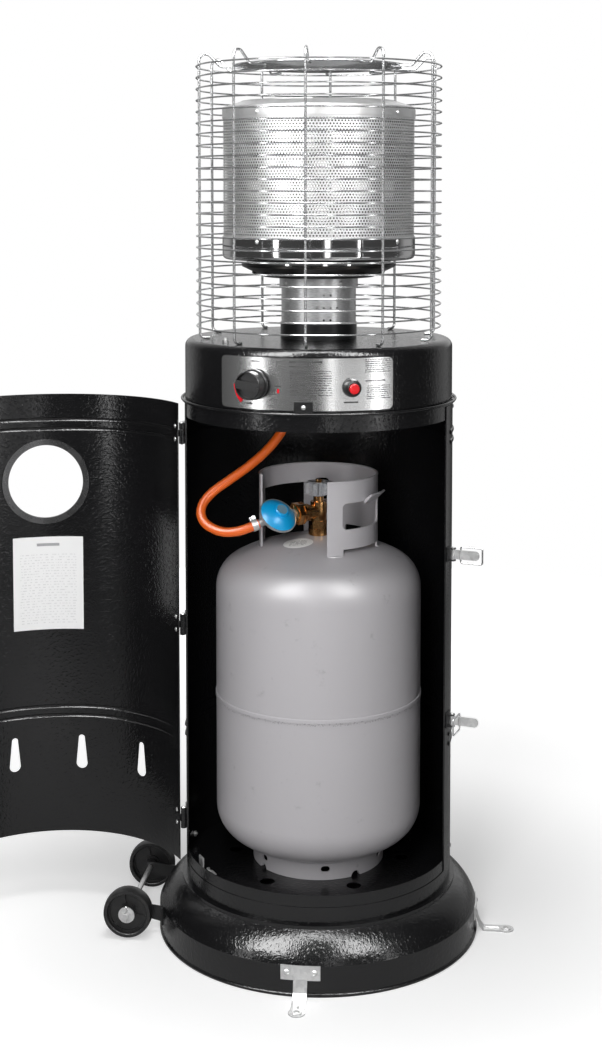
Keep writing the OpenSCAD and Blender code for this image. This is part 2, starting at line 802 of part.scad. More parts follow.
module latch_pins() {
    half = ear_z + ear_t;
    color("#c9c9c6") for (k = [0, 1]) latch_place(k) {
        cylinder(d = latch_pin_d, h = 2 * half + 1, center = true, $fn = small_fn);
        translate([0, 0, half + seat]) dome_head(latch_pin_d * 0.8, 1.4);
        translate([0, 0, -half - seat]) rotate([180, 0, 0]) dome_head(latch_pin_d * 0.8, 1.4);
    }
}

module latch_lever(k) {
    tip = 6;
    color("#c9c9c6") latch_place(k) difference() {
        union() {
            cylinder(r = barrel_r, h = lever_w, center = true, $fn = small_fn);
            translate([0, -bail_pivot, 0])
                cylinder(r = bail_barrel_r, h = lever_w, center = true, $fn = small_fn);
            translate([-0.8, 0, 0]) rotate([90, 0, 90]) linear_extrude(1.6) {
                translate([-lever_len + tip, -lever_w / 2]) square([lever_len - tip, lever_w]);
                translate([-lever_len + tip, 0]) scale([tip / (lever_w / 2), 1])
                    circle(d = lever_w, $fn = small_fn);
            }
        }
        cylinder(d = latch_pin_d + 2 * running, h = through, center = true, $fn = small_fn);
        translate([0, -bail_pivot, 0])
            cylinder(d = bail_d + 2 * running, h = through, center = true, $fn = small_fn);
    }
}

// A wire bail: feet in the lever, two arms and an end bar, drawn away from its pivot along -y.
module latch_bail(k, angle) {
    far = bail_len - bail_d / 2;
    color("#c9c9c6") latch_place(k) translate([0, -bail_pivot, 0]) rotate([0, 0, angle])
    for (s = [-1, 1]) {
        translate([0, 0, s > 0 ? 2 : -bail_arm_z + bail_bend])
            cylinder(d = bail_d, h = bail_arm_z - bail_bend - 2, $fn = small_fn);
        translate([0, -bail_bend, s * (bail_arm_z - bail_bend)]) rotate([0, 90, 0])
            rotate([0, 0, s > 0 ? 90 : 0]) rotate_extrude(angle = 90, start = 0, $fn = small_fn)
                translate([bail_bend, 0]) circle(d = bail_d, $fn = 24);
        translate([0, -bail_bend, s * bail_arm_z]) rotate([90, 0, 0])
            cylinder(d = bail_d, h = far - 2 * bail_bend, $fn = small_fn);
        translate([0, -far + bail_bend, s * (bail_arm_z - bail_bend)]) rotate([0, 90, 0])
            rotate([0, 0, s > 0 ? 180 : -90]) rotate_extrude(angle = 90, start = 0, $fn = small_fn)
                translate([bail_bend, 0]) circle(d = bail_d, $fn = 24);
        translate([0, -far, s > 0 ? 0 : -bail_arm_z + bail_bend])
            cylinder(d = bail_d, h = bail_arm_z - bail_bend, $fn = small_fn);
    }
}

// Head
module head_skirt() {
    color("#1b1b1d") difference() {
        union() {
            ring(rim_r, head_t, skirt_z, head_z - seat);
            ring(max(flange_r, rim_r), max(flange_r, rim_r) - min(upstand_r, rim_r) + head_t,
                head_z - seat - head_t, head_z - seat);
            ring(upstand_r, head_t, head_z - seat - head_t, head_z + 9);
        }
        for (a = housing_screw_angles()) hole_through(a, shell_top - rim_depth / 2, screw_d);
        for (a = head_screw_angles()) hole_through(a, head_screw_z, small_screw_d, head_r);
    }
}

module head_drum() {
    corner = [head_r - head_round, head_top - head_round];
    color("#1b1b1d") difference() {
        rotate_extrude($fn = round_fn) {
            translate([head_r - head_t, head_z]) square([head_t, head_h - head_round]);
            translate([head_r - head_t, head_z]) square([flange_r - head_r + head_t, head_t]);
            translate([flange_r, head_z + hem_bead_r]) circle(r = hem_bead_r, $fn = small_fn);
            intersection() {
                translate(corner) difference() {
                    circle(r = head_round, $fn = round_fn);
                    circle(r = head_round - head_t, $fn = round_fn);
                }
                translate(corner) square(head_round + 1);
            }
            translate([30, head_top - head_t]) square([corner[0] - 30, head_t]);
        }
        hole_through(knob_angle, knob_z, 2 * spindle_hole_r, head_r);
        hole_through(igniter_angle, igniter_z, 2 * (igniter_body_r + fit), head_r);
        hole_through(0, catch_z + catch_h / 2, small_screw_d, head_r);
        for (a = head_screw_angles()) hole_through(a, head_screw_z, small_screw_d, head_r);
        for (a = [60, 180, 300]) at_angle(a, 50, head_top - 5)
            cylinder(d = small_screw_d, h = 10, $fn = small_fn);
        at_angle(-49, 168, head_top - 5) cylinder(d = 5.2, h = 10, $fn = small_fn);
    }
}

function head_screw_angles() = [90, 180, 270];

module head_screws() {
    color("#c9c9c6") {
        radial(0, plate_r + fit + seat + 2, catch_z + catch_h / 2) dome_head(small_head_r, 2.2);
        radial(0, head_r - 8, catch_z + catch_h / 2)
            cylinder(d = small_screw_d - 2 * seat, h = plate_r + fit + 2.3 - head_r + 8, $fn = small_fn);
        for (a = head_screw_angles()) {
            radial(a, head_r + seat, head_screw_z) dome_head(small_head_r, 2.2);
            radial(a, head_r - 8, head_screw_z)
                cylinder(d = small_screw_d - 2 * seat, h = 8.2, $fn = small_fn);
        }
        at_angle(-49, 168, head_top - 7) cylinder(d = 5, h = 14, $fn = small_fn);
        at_angle(-49, 168, head_top + seat) hex_nut(9.4, 4, 5);
        for (a = [60, 180, 300]) at_angle(a, 50, head_top + tube_t + seat) {
            dome_head(small_head_r, 2.2);
            translate([0, 0, -8]) cylinder(d = small_screw_d - 2 * seat, h = 8.2, $fn = small_fn);
        }
    }
}

module control_plate() {
    chord = 2 * plate_r * sin(plate_half);
    color("#b9bbbe") difference() {
        intersection() {
            arc_wall(plate_r, plate_t, -plate_half, plate_half, plate_z, plate_z + plate_h);
            radial(0, plate_r / 2, plate_z + plate_h / 2)
                linear_extrude(plate_r) rounded_rect(chord, plate_h, 7);
        }
        hole_through(knob_angle, knob_z, 2 * spindle_hole_r, plate_r);
        hole_through(igniter_angle, igniter_z, 2 * (igniter_body_r + fit), plate_r);
        hole_through(0, catch_z + catch_h / 2, small_screw_d, plate_r);
    }
}

module front_catch() {
    color("#161617") difference() {
        union() {
            radial(0, plate_r + fit, catch_z + catch_h / 2)
                linear_extrude(2) rounded_rect(catch_w, catch_h, 1.2);
            radial(0, plate_r + fit, catch_z) translate([-catch_w / 2 + 2, 0, 0]) cube([catch_w - 4, 2, 4]);
        }
        hole_through(0, catch_z + catch_h / 2, small_screw_d, plate_r);
    }
}

// The knob: a skirt, a body and a face that is sunk on both sides of a grip bar.
module control_knob() {
    body_r = knob_d / 2 - 2;
    color("#161617") radial(knob_angle, knob_s, knob_z) rotate([0, 0, -6]) difference() {
        union() {
            cylinder(d = knob_d, h = knob_skirt_h - 1, $fn = round_fn);
            translate([0, 0, knob_skirt_h - 1]) cylinder(r1 = knob_d / 2, r2 = knob_d / 2 - 1, h = 1, $fn = round_fn);
            cylinder(r = body_r, h = knob_h - 1, $fn = round_fn);
            translate([0, 0, knob_h - 1]) cylinder(r1 = body_r, r2 = body_r - 1, h = 1, $fn = round_fn);
        }
        for (s = [-1, 1]) translate([0, 0, knob_h - grip_sink]) linear_extrude(grip_sink + 1)
            intersection() {
                circle(r = body_r - knob_rim, $fn = round_fn);
                translate([0, s * (grip_w / 2 + body_r / 2)]) square([2 * body_r, body_r], center = true);
            }
        translate([0, 0, -1]) cylinder(d = spindle_d + 2 * seat, h = 13, $fn = small_fn);
        translate([body_r - 5, -0.8, knob_h - 0.8]) cube([6, 1.6, 2]);
    }
}

module knob_spindle() {
    start = valve_face - 15.6;
    color("#a9a9a5") radial(knob_angle, start, knob_z) difference() {
        cylinder(d = spindle_d, h = knob_s + 11 - start, $fn = small_fn);
        translate([-spindle_d, spindle_d / 2 - 1, knob_s + 1 - start]) cube([2 * spindle_d, spindle_d, 20]);
    }
}

module thrust_washer() {
    low = plate_r + 0.9;
    color("#a9a9a5") radial(knob_angle, low, knob_z) difference() {
        cylinder(r = washer_r, h = knob_s - fit - low, $fn = small_fn);
        translate([0, 0, -1]) cylinder(d = spindle_d + 2 * running, h = 10, $fn = small_fn);
    }
}

function valve_point(s) = [s * sin(knob_angle), -s * cos(knob_angle), knob_z];
inlet_from = valve_point(valve_s[0] + 12);
inlet_to = [hose_end[0], hose_end[1], knob_z];

module gas_valve() {
    color("#b08d4a") {
        difference() {
            union() {
                radial(knob_angle, valve_s[0], knob_z)
                    cylinder(r = valve_r, h = valve_s[1] - valve_s[0], $fn = small_fn);
                radial(knob_angle, valve_s[1] - 1, knob_z)
                    cylinder(r = 10, h = valve_face - valve_s[1], $fn = small_fn);
                radial(knob_angle, valve_face - 2, knob_z) linear_extrude(2) rounded_rect(38, 28, 4);
                along(inlet_from, inlet_to) cylinder(r = 7.5, h = 30, $fn = small_fn);
                translate(valve_point(valve_s[0] + 12)) cylinder(r = 7.5, h = valve_r + 6, $fn = small_fn);
            }
            radial(knob_angle, valve_face - 21, knob_z)
                cylinder(d = spindle_d + 2 * running, h = 30, $fn = small_fn);
        }
    }
}

// A quarter bend of pipe that leaves the origin along +z and turns towards +x.
module quarter_bend(bend, d) {
    translate([bend, 0, 0]) rotate([90, 0, 0]) rotate([0, 0, 90])
        rotate_extrude(angle = 90, start = 0, $fn = small_fn) translate([bend, 0]) circle(d = d, $fn = 24);
}

// Feed pipe from the valve to the jet, and inlet pipe from the hose connector to the valve.
module gas_pipes() {
    pipe_d = 8;
    bend_d = pipe_d - 0.1;
    bend = 10;
    lap = 0.3;
    feed_s = valve_s[0] + 12;
    feed_z = knob_z + valve_r + 6;
    level_z = feed_z + 3 + bend;
    color("#b56b3e") {
        at_angle(knob_angle, feed_s, feed_z) {
            cylinder(d = pipe_d, h = 3 + lap, $fn = small_fn);
            translate([0, 0, 3]) rotate([0, 0, 90]) quarter_bend(bend, bend_d);
            translate([0, bend - lap, level_z - feed_z]) rotate([-90, 0, 0])
                cylinder(d = pipe_d, h = feed_s - 2 * bend + 2 * lap, $fn = small_fn);
            translate([0, feed_s, level_z - feed_z + bend]) rotate([0, 0, -90]) rotate([180, 0, 0])
                quarter_bend(bend, bend_d);
            translate([0, feed_s, level_z - feed_z + bend - lap])
                cylinder(d = pipe_d, h = head_top + 16 - level_z - bend + lap, $fn = small_fn);
            translate([0, feed_s, head_top + 12 - feed_z]) cylinder(d = 14, h = 12, $fn = 6);
        }
        along(inlet_from, inlet_to) translate([0, 0, 30])
            cylinder(d = pipe_d, h = norm(inlet_to - inlet_from) - 30 - bend + lap, $fn = small_fn);
        translate([inlet_to[0], inlet_to[1], connector_top])
            cylinder(d = pipe_d, h = knob_z - bend - connector_top + lap, $fn = small_fn);
        translate([inlet_to[0], inlet_to[1], knob_z - bend])
            rotate([0, 0, atan2(inlet_from[1] - inlet_to[1], inlet_from[0] - inlet_to[0])])
                quarter_bend(bend, bend_d);
    }
}

module igniter_housing() {
    bore = button_d + 2 * running;
    color("#161617") radial(igniter_angle, 0, igniter_z) difference() {
        union() {
            translate([0, 0, plate_r + seat]) cylinder(r = igniter_r + 1.2, h = 4, $fn = small_fn);
            translate([0, 0, plate_r + seat])
                cylinder(r = igniter_r, h = igniter_face - plate_r - seat, $fn = small_fn);
            translate([0, 0, 160]) cylinder(r = igniter_body_r, h = plate_r + 1 - 160, $fn = small_fn);
            translate([0, 0, 195]) cylinder(d = 26, h = 5, $fn = 6);
        }
        translate([0, 0, igniter_face - 12.5]) cylinder(d = bore, h = 20, $fn = small_fn);
    }
}

module igniter_button() {
    start = igniter_face - 6;
    color("#d8202a") radial(igniter_angle, start, igniter_z) rotate_extrude($fn = small_fn) {
        square([button_d / 2, 10.5]);
        square([button_d / 2 - 1.5, 12]);
        translate([button_d / 2 - 1.5, 10.5]) circle(r = 1.5, $fn = small_fn);
    }
}

module tilt_switch() {
    color("#3a3a3c") at_angle(150, 110, head_top - head_t - seat) {
        translate([-16, -12, -3]) cube([32, 24, 3]);
        translate([-11, -10, -34]) cube([22, 20, 32]);
        translate([0, 0, -40]) cylinder(r = 5, h = 8, $fn = small_fn);
    }
}

// Gas train in the cabinet
function spline(a, b, c, d, t) = 0.5 * (2 * b + (c - a) * t + (2 * a - 5 * b + 4 * c - d) * t * t
    + (3 * b - 3 * c + d - a) * t * t * t);
function unit(v) = v / norm(v);

function hose_path() =
    let (n = len(hose_route),
        first = 2 * hose_route[0] - hose_route[1],
        last = 2 * hose_route[n - 1] - hose_route[n - 2],
        pts = concat([first], hose_route, [last]))
    concat([for (i = [1 : n - 1], s = [0 : hose_steps - 1])
        spline(pts[i - 1], pts[i], pts[i + 1], pts[i + 2], s / hose_steps)], [hose_end]);

// The tube is swept along the route, each ring square to its direction.
module gas_hose() {
    path = hose_path();
    n = len(path);
    rings = [for (i = [0 : n - 1])
        let (t = unit(path[min(i + 1, n - 1)] - path[max(i - 1, 0)]),
            u = unit(cross(t, hose_up)), w = cross(t, u))
        for (k = [0 : hose_sides - 1]) path[i]
            + hose_d / 2 * (cos(360 * k / hose_sides) * u + sin(360 * k / hose_sides) * w)];
    ends = [[for (k = [0 : hose_sides - 1]) k],
        [for (k = [hose_sides - 1 : -1 : 0]) (n - 1) * hose_sides + k]];
    walls = [for (i = [0 : n - 2], k = [0 : hose_sides - 1])
        let (a = i * hose_sides + k, b = i * hose_sides + (k + 1) % hose_sides)
        [a, a + hose_sides, b + hose_sides, b]];
    color("#f0641e") polyhedron(points = rings, faces = concat(ends, walls), convexity = 6);
}

// A worm-drive clamp round the hose, with its screw housing on one side.
module clamp_band() {
    inner = hose_d / 2 + fit;
    difference() {
        cylinder(r = inner + 1.2, h = 9, $fn = small_fn);
        translate([0, 0, -1]) cylinder(r = inner, h = 11, $fn = small_fn);
    }
    translate([inner + 1, -5, 0]) cube([5, 10, 9]);
    translate([inner + 4, -9, 4.5]) rotate([-90, 0, 0]) cylinder(d = 5, h = 18, $fn = small_fn);
}

module hose_clamps() {
    color("#c9c9c6") {
        along(hose_route[0], hose_route[1]) translate([0, 0, 2]) rotate([0, 0, 200]) clamp_band();
        translate([hose_end[0], hose_end[1], hose_end[2] - 11]) clamp_band();
    }
}

module hose_connector() {
    color("#b08d4a") translate(hose_end + [0, 0, hose_seat]) {
        cylinder(r = hose_d / 2, h = 6, $fn = small_fn);
        translate([0, 0, 6]) cylinder(d = 24, h = 14, $fn = 6);
        translate([0, 0, 20]) cylinder(d = 13, h = 6, $fn = small_fn);
    }
}

regulator_pos = concat(polar(regulator_s, outlet_angle), [outlet_z]);

// Children stand at the regulator: x away from the valve, z out of the dome.
module regulator_place() {
    translate(regulator_pos) rotate([0, 0, outlet_angle - 90]) rotate([-regulator_tilt, 0, 0]) children();
}

module regulator_body() {
    color("#b4b4ae") difference() {
        union() {
            regulator_place() {
                rotate_extrude($fn = round_fn) {
                    translate([0, crimp_z - 3.4]) square([crimp_r, 3.4]);
                    polygon([[0, -15], [13, -15], [19, -11], [25, -2], [25, 1], [0, 1]]);
                }
                rotate([0, -90, 0]) cylinder(r = 8, h = regulator_s - outlet_len - regulator_nut_h + 0.5, $fn = small_fn);
            }
            along(regulator_pos, hose_route[0]) translate([0, 0, 8])
                cylinder(r = 6.2, h = norm(hose_route[0] - regulator_pos) - 8.5, $fn = small_fn);
        }
        regulator_place() translate([0, 0, crimp_z]) cylinder(r = dome_r + fit, h = through, $fn = round_fn);
    }
}

module regulator_cap() {
    color("#1f8ecb") regulator_place() translate([0, 0, crimp_z]) {
        dome_head(dome_r, 12);
        translate([0, 0, 9]) cylinder(r = 11, h = 5, $fn = small_fn);
        translate([0, 0, 14]) cylinder(r1 = 11, r2 = 9.6, h = 1.4, $fn = small_fn);
    }
}

module regulator_nut() {
    color("#b08d4a") radial(outlet_angle, outlet_len + seat, outlet_z) {
        difference() {
            union() {
                cylinder(d = 36, h = 13, $fn = 6);
                cylinder(r = 17, h = 3, $fn = small_fn);
                translate([0, 0, 13]) cylinder(r = 14, h = regulator_nut_h - 13, $fn = small_fn);
            }
            translate([0, 0, regulator_nut_h - 4]) cylinder(r = 8.4, h = 6, $fn = small_fn);
        }
    }
}

// Half outline of the gas cylinder, grown by g.
module tank_outline(g) {
    c_r = tank_r - knuckle;
    drop = sqrt(pow(crown - knuckle, 2) - pow(c_r, 2));
    far = crown + 50;
    tip = unit([c_r, drop]) * far;
    translate([0, tank_low]) square([tank_r + g, tank_high - tank_low]);
    for (end = [[tank_high, 1], [tank_low, -1]]) translate([0, end[0]]) scale([1, end[1]]) {
        intersection() {
            union() {
                translate([c_r, 0]) circle(r = knuckle + g, $fn = round_fn);
                intersection() {
                    translate([0, -drop]) circle(r = crown + g, $fn = 2 * round_fn);
                    translate([0, -drop]) polygon([[0, 0], tip, [0, far + 40]]);
                }
                square([c_r, knuckle + g - 1]);
            }
            square([tank_r + g + 1, crown]);
        }
    }
}

module tank_solid(g) {
    rotate_extrude($fn = round_fn) tank_outline(g);
}

module cylinder_tank() {
    color("#b7b8ba") difference() {
        union() {
            tank_solid(0);
            rotate_extrude($fn = round_fn) translate([tank_r - 1, 366]) square([1 + band_rise, 7]);
        }
        tank_solid(-tank_t);
        translate([0, 0, tank_high]) cylinder(r = neck_hole_r, h = 2 * knuckle, $fn = small_fn);
    }
}

module cylinder_foot() {
    color("#b7b8ba") difference() {
        union() {
            ring(foot_r, 3, tray_h + fit, tank_low - 40);
            rotate_extrude($fn = round_fn) translate([foot_r - 4, tray_h + fit + 2.5])
                intersection() {
                    circle(r = 2.8, $fn = small_fn);
                    translate([-3, -2.5]) square([6, 5]);
                }
        }
        tank_solid(seat);
        for (k = [0 : 5]) radial(k * 60 + 12, foot_r - 20, tray_h + 17)
            linear_extrude(through) rounded_rect(13.5, 9, 4.4);
        for (k = [0 : 3]) radial(k * 90 + 40, foot_r - 20, tray_h) cylinder(r = 8, h = through, $fn = small_fn);
    }
}

module collar_window(a0, a1, z0, z1, r) {
    half = (a1 - a0) / 2;
    radial((a0 + a1) / 2, collar_r * cos(half) - 8, (z0 + z1) / 2)
        linear_extrude(collar_r) rounded_rect(2 * collar_r * sin(half), z1 - z0, r);
}

module cylinder_collar() {
    a0 = 14;
    a1 = 291;
    color("#b7b8ba") difference() {
        union() {
            difference() {
                arc_wall(collar_r, 3, a0, a1, tank_high + 52, collar_top - 2);
                collar_window(29, 86, 638, 678, 7);
                collar_window(175, 190, 652, 686.5, 7);
                for (cut = [[30, 84, 608.5], [100, 122, 612], [137, 157, 614], [201, 256, 680]])
                    arc_turn(cut[0], cut[1]) translate([collar_r - 5, tank_high + 40])
                        square([7, cut[2] - tank_high - 40]);
            }
            arc_turn(a0, a1) translate([collar_r - 1.5, collar_top - 2.1])
                circle(r = 2.1, $fn = small_fn);
            arc_turn(56, 83) polygon([[collar_r - 3, 674], [collar_r, 674], [collar_r + 13, 687],
                [collar_r + 11, 689], [collar_r - 1, 679.5], [collar_r - 3, 679.5]]);
        }
        tank_solid(seat);
    }
}

module cylinder_valve() {
    top = tank_high + 79;
    color("#b08d4a") {
        translate([0, 0, top - 14]) cylinder(r = neck_hole_r - seat, h = 30, $fn = small_fn);
        translate([0, 0, top + 1]) cylinder(r = 15.6, h = 9, $fn = small_fn);
        translate([0, 0, top + 10]) cylinder(d = 31, h = 12, $fn = 6);
        translate([0, 0, top + 20]) cylinder(r = 12.5, h = 32, $fn = small_fn);
        radial(outlet_angle, 0, outlet_z) cylinder(r = 11, h = outlet_len - 9, $fn = small_fn);
        radial(outlet_angle, outlet_len - 10, outlet_z) cylinder(r = 13.5, h = 10, $fn = small_fn);
        radial(outlet_angle + 180, 0, outlet_z + 2) cylinder(d = 16, h = 19, $fn = 6);
        translate([0, 0, 664]) cylinder(r = 8, h = 10, $fn = small_fn);
        translate([0, 0, 664]) cylinder(d = stem_d, h = 36, $fn = small_fn);
    }
}

module cylinder_handwheel() {
    z0 = 675;
    color("#8b8f94") difference() {
        union() {
            translate([0, 0, z0 + 2]) cylinder(r = 16, h = 20, $fn = small_fn);
            translate([0, 0, z0]) cylinder(r = 11, h = 4, $fn = small_fn);
            for (k = [0 : 5]) rotate([0, 0, k * 60 + 20]) translate([16.5, 0, z0 + 4])
                cylinder(r = 5.5, h = 17, $fn = small_fn);
        }
        translate([0, 0, z0 - 1]) cylinder(d = stem_d + 2 * running, h = 30, $fn = small_fn);
        translate([0, 0, z0 + 18]) cylinder(r = 11.5, h = 10, $fn = small_fn);
    }
}

// Burner and emitter
module burner_tube() {
    color("#9fa1a3") difference() {
        rotate_extrude($fn = round_fn) {
            translate([30, head_top + seat]) square([tube_r + 1.5 - 30, tube_t]);
            translate([tube_r + 1.5 - 2 * tube_t, head_top + seat]) square([2 * tube_t, 23]);
            translate([tube_r - tube_t, head_top + 20]) square([tube_t, cone_low - head_top - 25]);
            translate([tube_r - tube_t, cone_low - 17]) square([tube_t + 3, 17]);
        }
        for (g = [19, 199], row = [[-0.5, 29.5, 2], [-1.5, 48, 4], [-0.5, 67, 2]], k = [0 : row[2] - 1])
            radial(g + (row[0] + k) * 10.5, tube_r - 10, head_top + row[1])
                cylinder(d = 3.2, h = 20, $fn = 24);
        for (a = [60, 180, 300]) at_angle(a, 50, head_top - 5)
            cylinder(d = small_screw_d, h = 10, $fn = small_fn);
        for (k = [0 : 3]) radial(90 * k + 40, tube_r - 10, cone_low - 8)
            cylinder(d = small_screw_d, h = 20, $fn = small_fn);
    }
}

// One eyebrow vent on the outside of the cone; z is away from the sheet and y is up its slope.
module vent_place(a) {
    slope = atan2(cone_rise, cone_r[1] - cone_r[0]);
    mid = (cone_r[0] + cone_r[1]) / 2;
    radial(a, mid, cone_low + cone_rise / 2) rotate([90 - slope, 0, 0]) children();
}

module burner_cone() {
    slope = atan2(cone_rise, cone_r[1] - cone_r[0]);
    lift = cone_t / cos(slope);
    color("#2a2a2c") difference() {
        union() {
            rotate_extrude($fn = round_fn) {
                translate([tube_r - tube_t, cone_low + seat]) square([cone_r[0] - tube_r + tube_t + 0.2, cone_t]);
                polygon([[cone_r[0], cone_low + seat], [cone_r[1], cone_low + seat + cone_rise],
                    [cone_r[1], cone_low + seat + cone_rise + lift], [cone_r[0], cone_low + seat + lift]]);
                translate([cone_r[1] - cone_t, cone_low + seat + cone_rise]) square([cone_t, 4]);
            }
            for (k = [0 : vent_count - 1]) vent_place(k * 360 / vent_count + 15) difference() {
                intersection() {
                    translate([0, 0, -11]) sphere(r = 14, $fn = small_fn);
                    translate([-12, -12, -0.6]) cube([24, 12.5, 6]);
                }
                translate([0, 0, -11]) sphere(r = 13, $fn = small_fn);
            }
        }
        for (k = [0 : vent_count - 1]) vent_place(k * 360 / vent_count + 15) intersection() {
            translate([0, 0, -3]) cylinder(r = 6.8, h = 4, $fn = small_fn);
            translate([-8, -8, -4]) cube([16, 8, 8]);
        }
    }
}

module burner_screws() {
    color("#c9c9c6") {
        for (k = [0 : 3]) radial(90 * k + 40, tube_r + 3 + seat, cone_low - 8) {
            dome_head(small_head_r, 2.2);
            translate([0, 0, -8]) cylinder(d = small_screw_d - 2 * seat, h = 8.2, $fn = small_fn);
        }
        for (k = [0 : 3]) {
            radial(90 * k - 32, emitter_r + seat, pan_z + pan_h - 5) dome_head(small_head_r, 2);
            radial(90 * k - 32, emitter_r - 7, pan_z + pan_h - 5)
                cylinder(d = small_screw_d - 2 * seat, h = 7.2, $fn = small_fn);
            radial(90 * k - 32, emitter_r + seat, cap_z + 5) dome_head(small_head_r, 2);
            radial(90 * k - 32, emitter_r - 7, cap_z + 5)
                cylinder(d = small_screw_d - 2 * seat, h = 7.2, $fn = small_fn);
        }
    }
}

module screw_ring_holes(z) {
    for (k = [0 : 3]) hole_through(90 * k - 32, z, small_screw_d, emitter_r);
}

module emitter_pan() {
    corner_r = 8;
    corner = [emitter_r - corner_r, pan_z + corner_r];
    throat = 110;
    color("#d6d8da") difference() {
        rotate_extrude($fn = round_fn) {
            translate([30, pan_z]) square([corner[0] - 30, emitter_t]);
            intersection() {
                translate(corner) difference() {
                    circle(r = corner_r, $fn = small_fn);
                    circle(r = corner_r - emitter_t, $fn = small_fn);
                }
                translate([corner[0], pan_z]) square(corner_r);
            }
            translate([emitter_r - emitter_t, corner[1]]) square([emitter_t, pan_h - corner_r]);
            translate([throat - emitter_t, 1028.2]) square([emitter_t, pan_z - 1028]);
        }
        screw_ring_holes(pan_z + pan_h - 5);
        for (r = [[70, 24], [95, 32]], k = [0 : r[1] - 1])
            at_angle(k * 360 / r[1], r[0], pan_z - 1) cylinder(d = 5, h = 4, $fn = 24);
    }
}

module emitter_screen() {
    color("#9a9c9e") difference() {
        ring(screen_r, screen_t, pan_z + pan_h - screen_tuck - 4, cap_z + screen_tuck);
        screw_ring_holes(pan_z + pan_h - 5);
        screw_ring_holes(cap_z + 5);
    }
}

module emitter_cap() {
    edge = [emitter_r - 3, cap_z + cap_band];
    color("#d6d8da") difference() {
        rotate_extrude($fn = round_fn) {
            translate([emitter_r - emitter_t, cap_z]) square([emitter_t, cap_band]);
            intersection() {
                translate(edge) difference() {
                    circle(r = 3, $fn = small_fn);
                    circle(r = 3 - emitter_t, $fn = small_fn);
                }
                translate(edge) square(3);
            }
            polygon([[edge[0], edge[1] + 3 - emitter_t], [edge[0], edge[1] + 3],
                [cap_flat_r, cap_z + cap_band + cap_rise], [cap_flat_r, cap_z + cap_band + cap_rise - emitter_t]]);
            translate([0, cap_z + cap_band + cap_rise - emitter_t]) square([cap_flat_r, emitter_t]);
            translate([cap_flat_r - 1.5, cap_z + cap_band + cap_rise - 0.4]) circle(r = 1.4, $fn = small_fn);
        }
        screw_ring_holes(cap_z + 5);
    }
}

// Pilot burner, flame sensor and electrode on one bracket behind the screen.
module pilot_assembly() {
    color("#a9a9a5") at_angle(19, 118, pan_z + emitter_t) {
        translate([-16, -7, 0]) cube([32, 14, 1.5]);
        translate([-16, -7, 0]) cube([32, 1.5, 26]);
        translate([-10, 0, 0]) cylinder(d = 7, h = 38, $fn = small_fn);
        translate([-10, 0, 38]) cylinder(d = 9, h = 8, $fn = small_fn);
        translate([0, 0, 0]) cylinder(d = 3.4, h = 58, $fn = small_fn);
        translate([10, 0, 0]) cylinder(d = 6.4, h = 34, $fn = small_fn);
        translate([10, 0, 34]) cylinder(d = 2, h = 16, $fn = small_fn);
    }
}

// Guard: an upright with a turned-in foot, a shoulder bend and a tail that lies under the dish.
module guard_upright() {
    top_z = guard_top - rod_bend - rod_d / 2;
    low_z = head_top + rod_d / 2 + rod_foot_bend;
    shoulder = [rod_r - rod_bend + rod_bend * cos(135), top_z + rod_bend * sin(135)];
    tail_z = dish_z - rod_d / 2;
    slide = (shoulder[1] - tail_z - 8 * (1 - cos(45))) * sqrt(2);
    knee = shoulder - slide * [1, 1] / sqrt(2);
    tail_r = knee[0] - 8 * sin(45);
    translate([rod_r, 0, low_z]) cylinder(d = rod_d, h = top_z - low_z, $fn = 24);
    translate([rod_r - rod_foot_bend, 0, low_z]) rotate([90, 0, 0])
        rotate_extrude(angle = 90, start = -90, $fn = small_fn)
            translate([rod_foot_bend, 0]) circle(d = rod_d, $fn = 24);
    translate([rod_r - rod_foot_bend - 7, 0, head_top + rod_d / 2]) rotate([0, 90, 0])
        cylinder(d = rod_d, h = 7, $fn = 24);
    translate([rod_r - rod_bend, 0, top_z]) rotate([90, 0, 0])
        rotate_extrude(angle = 135, start = 0, $fn = small_fn)
            translate([rod_bend, 0]) circle(d = rod_d, $fn = 24);
    translate([shoulder[0], 0, shoulder[1]]) rotate([0, -135, 0]) translate([0, 0, -0.3])
        cylinder(d = rod_d + 0.1, h = slide + 0.6, $fn = 24);
    translate([tail_r, 0, tail_z + 8]) rotate([90, 0, 0])
        rotate_extrude(angle = 45, start = -90, $fn = small_fn)
            translate([8, 0]) circle(d = rod_d, $fn = 24);
    translate([dish_r - dish_flange + 3, 0, tail_z]) rotate([0, 90, 0])
        cylinder(d = rod_d + 0.1, h = tail_r + 0.3 - dish_r + dish_flange - 3, $fn = 24);
}

module guard_cage() {
    color("#d0d2d4") union() {
        for (k = [0 : ring_count - 1]) translate([0, 0, ring_z + k * ring_pitch])
            rotate_extrude($fn = round_fn) translate([ring_r, 0]) rotate([0, 0, 180 / ring_sides])
                circle(d = ring_d / cos(180 / ring_sides), $fn = ring_sides);
        for (k = [0 : rod_count - 1]) rotate([0, 0, k * 360 / rod_count - 90]) guard_upright();
    }
}

module guard_dish() {
    bowl_r = dish_r - dish_flange;
    big = (bowl_r * bowl_r + dish_sag * dish_sag) / (2 * dish_sag);
    color("#d6d8da") rotate_extrude($fn = round_fn) {
        translate([bowl_r - 0.5, dish_z + seat]) square([dish_flange + 0.5, dish_t]);
        translate([dish_r, dish_z + seat + 1.2]) circle(r = 1.2, $fn = small_fn);
        intersection() {
            translate([0, dish_z + seat + dish_t + big - dish_sag]) difference() {
                circle(r = big, $fn = 4 * round_fn);
                circle(r = big - dish_t, $fn = 4 * round_fn);
            }
            translate([0, dish_z - 2 * dish_sag]) square([bowl_r, 2 * dish_sag + seat + dish_t]);
        }
    }
}

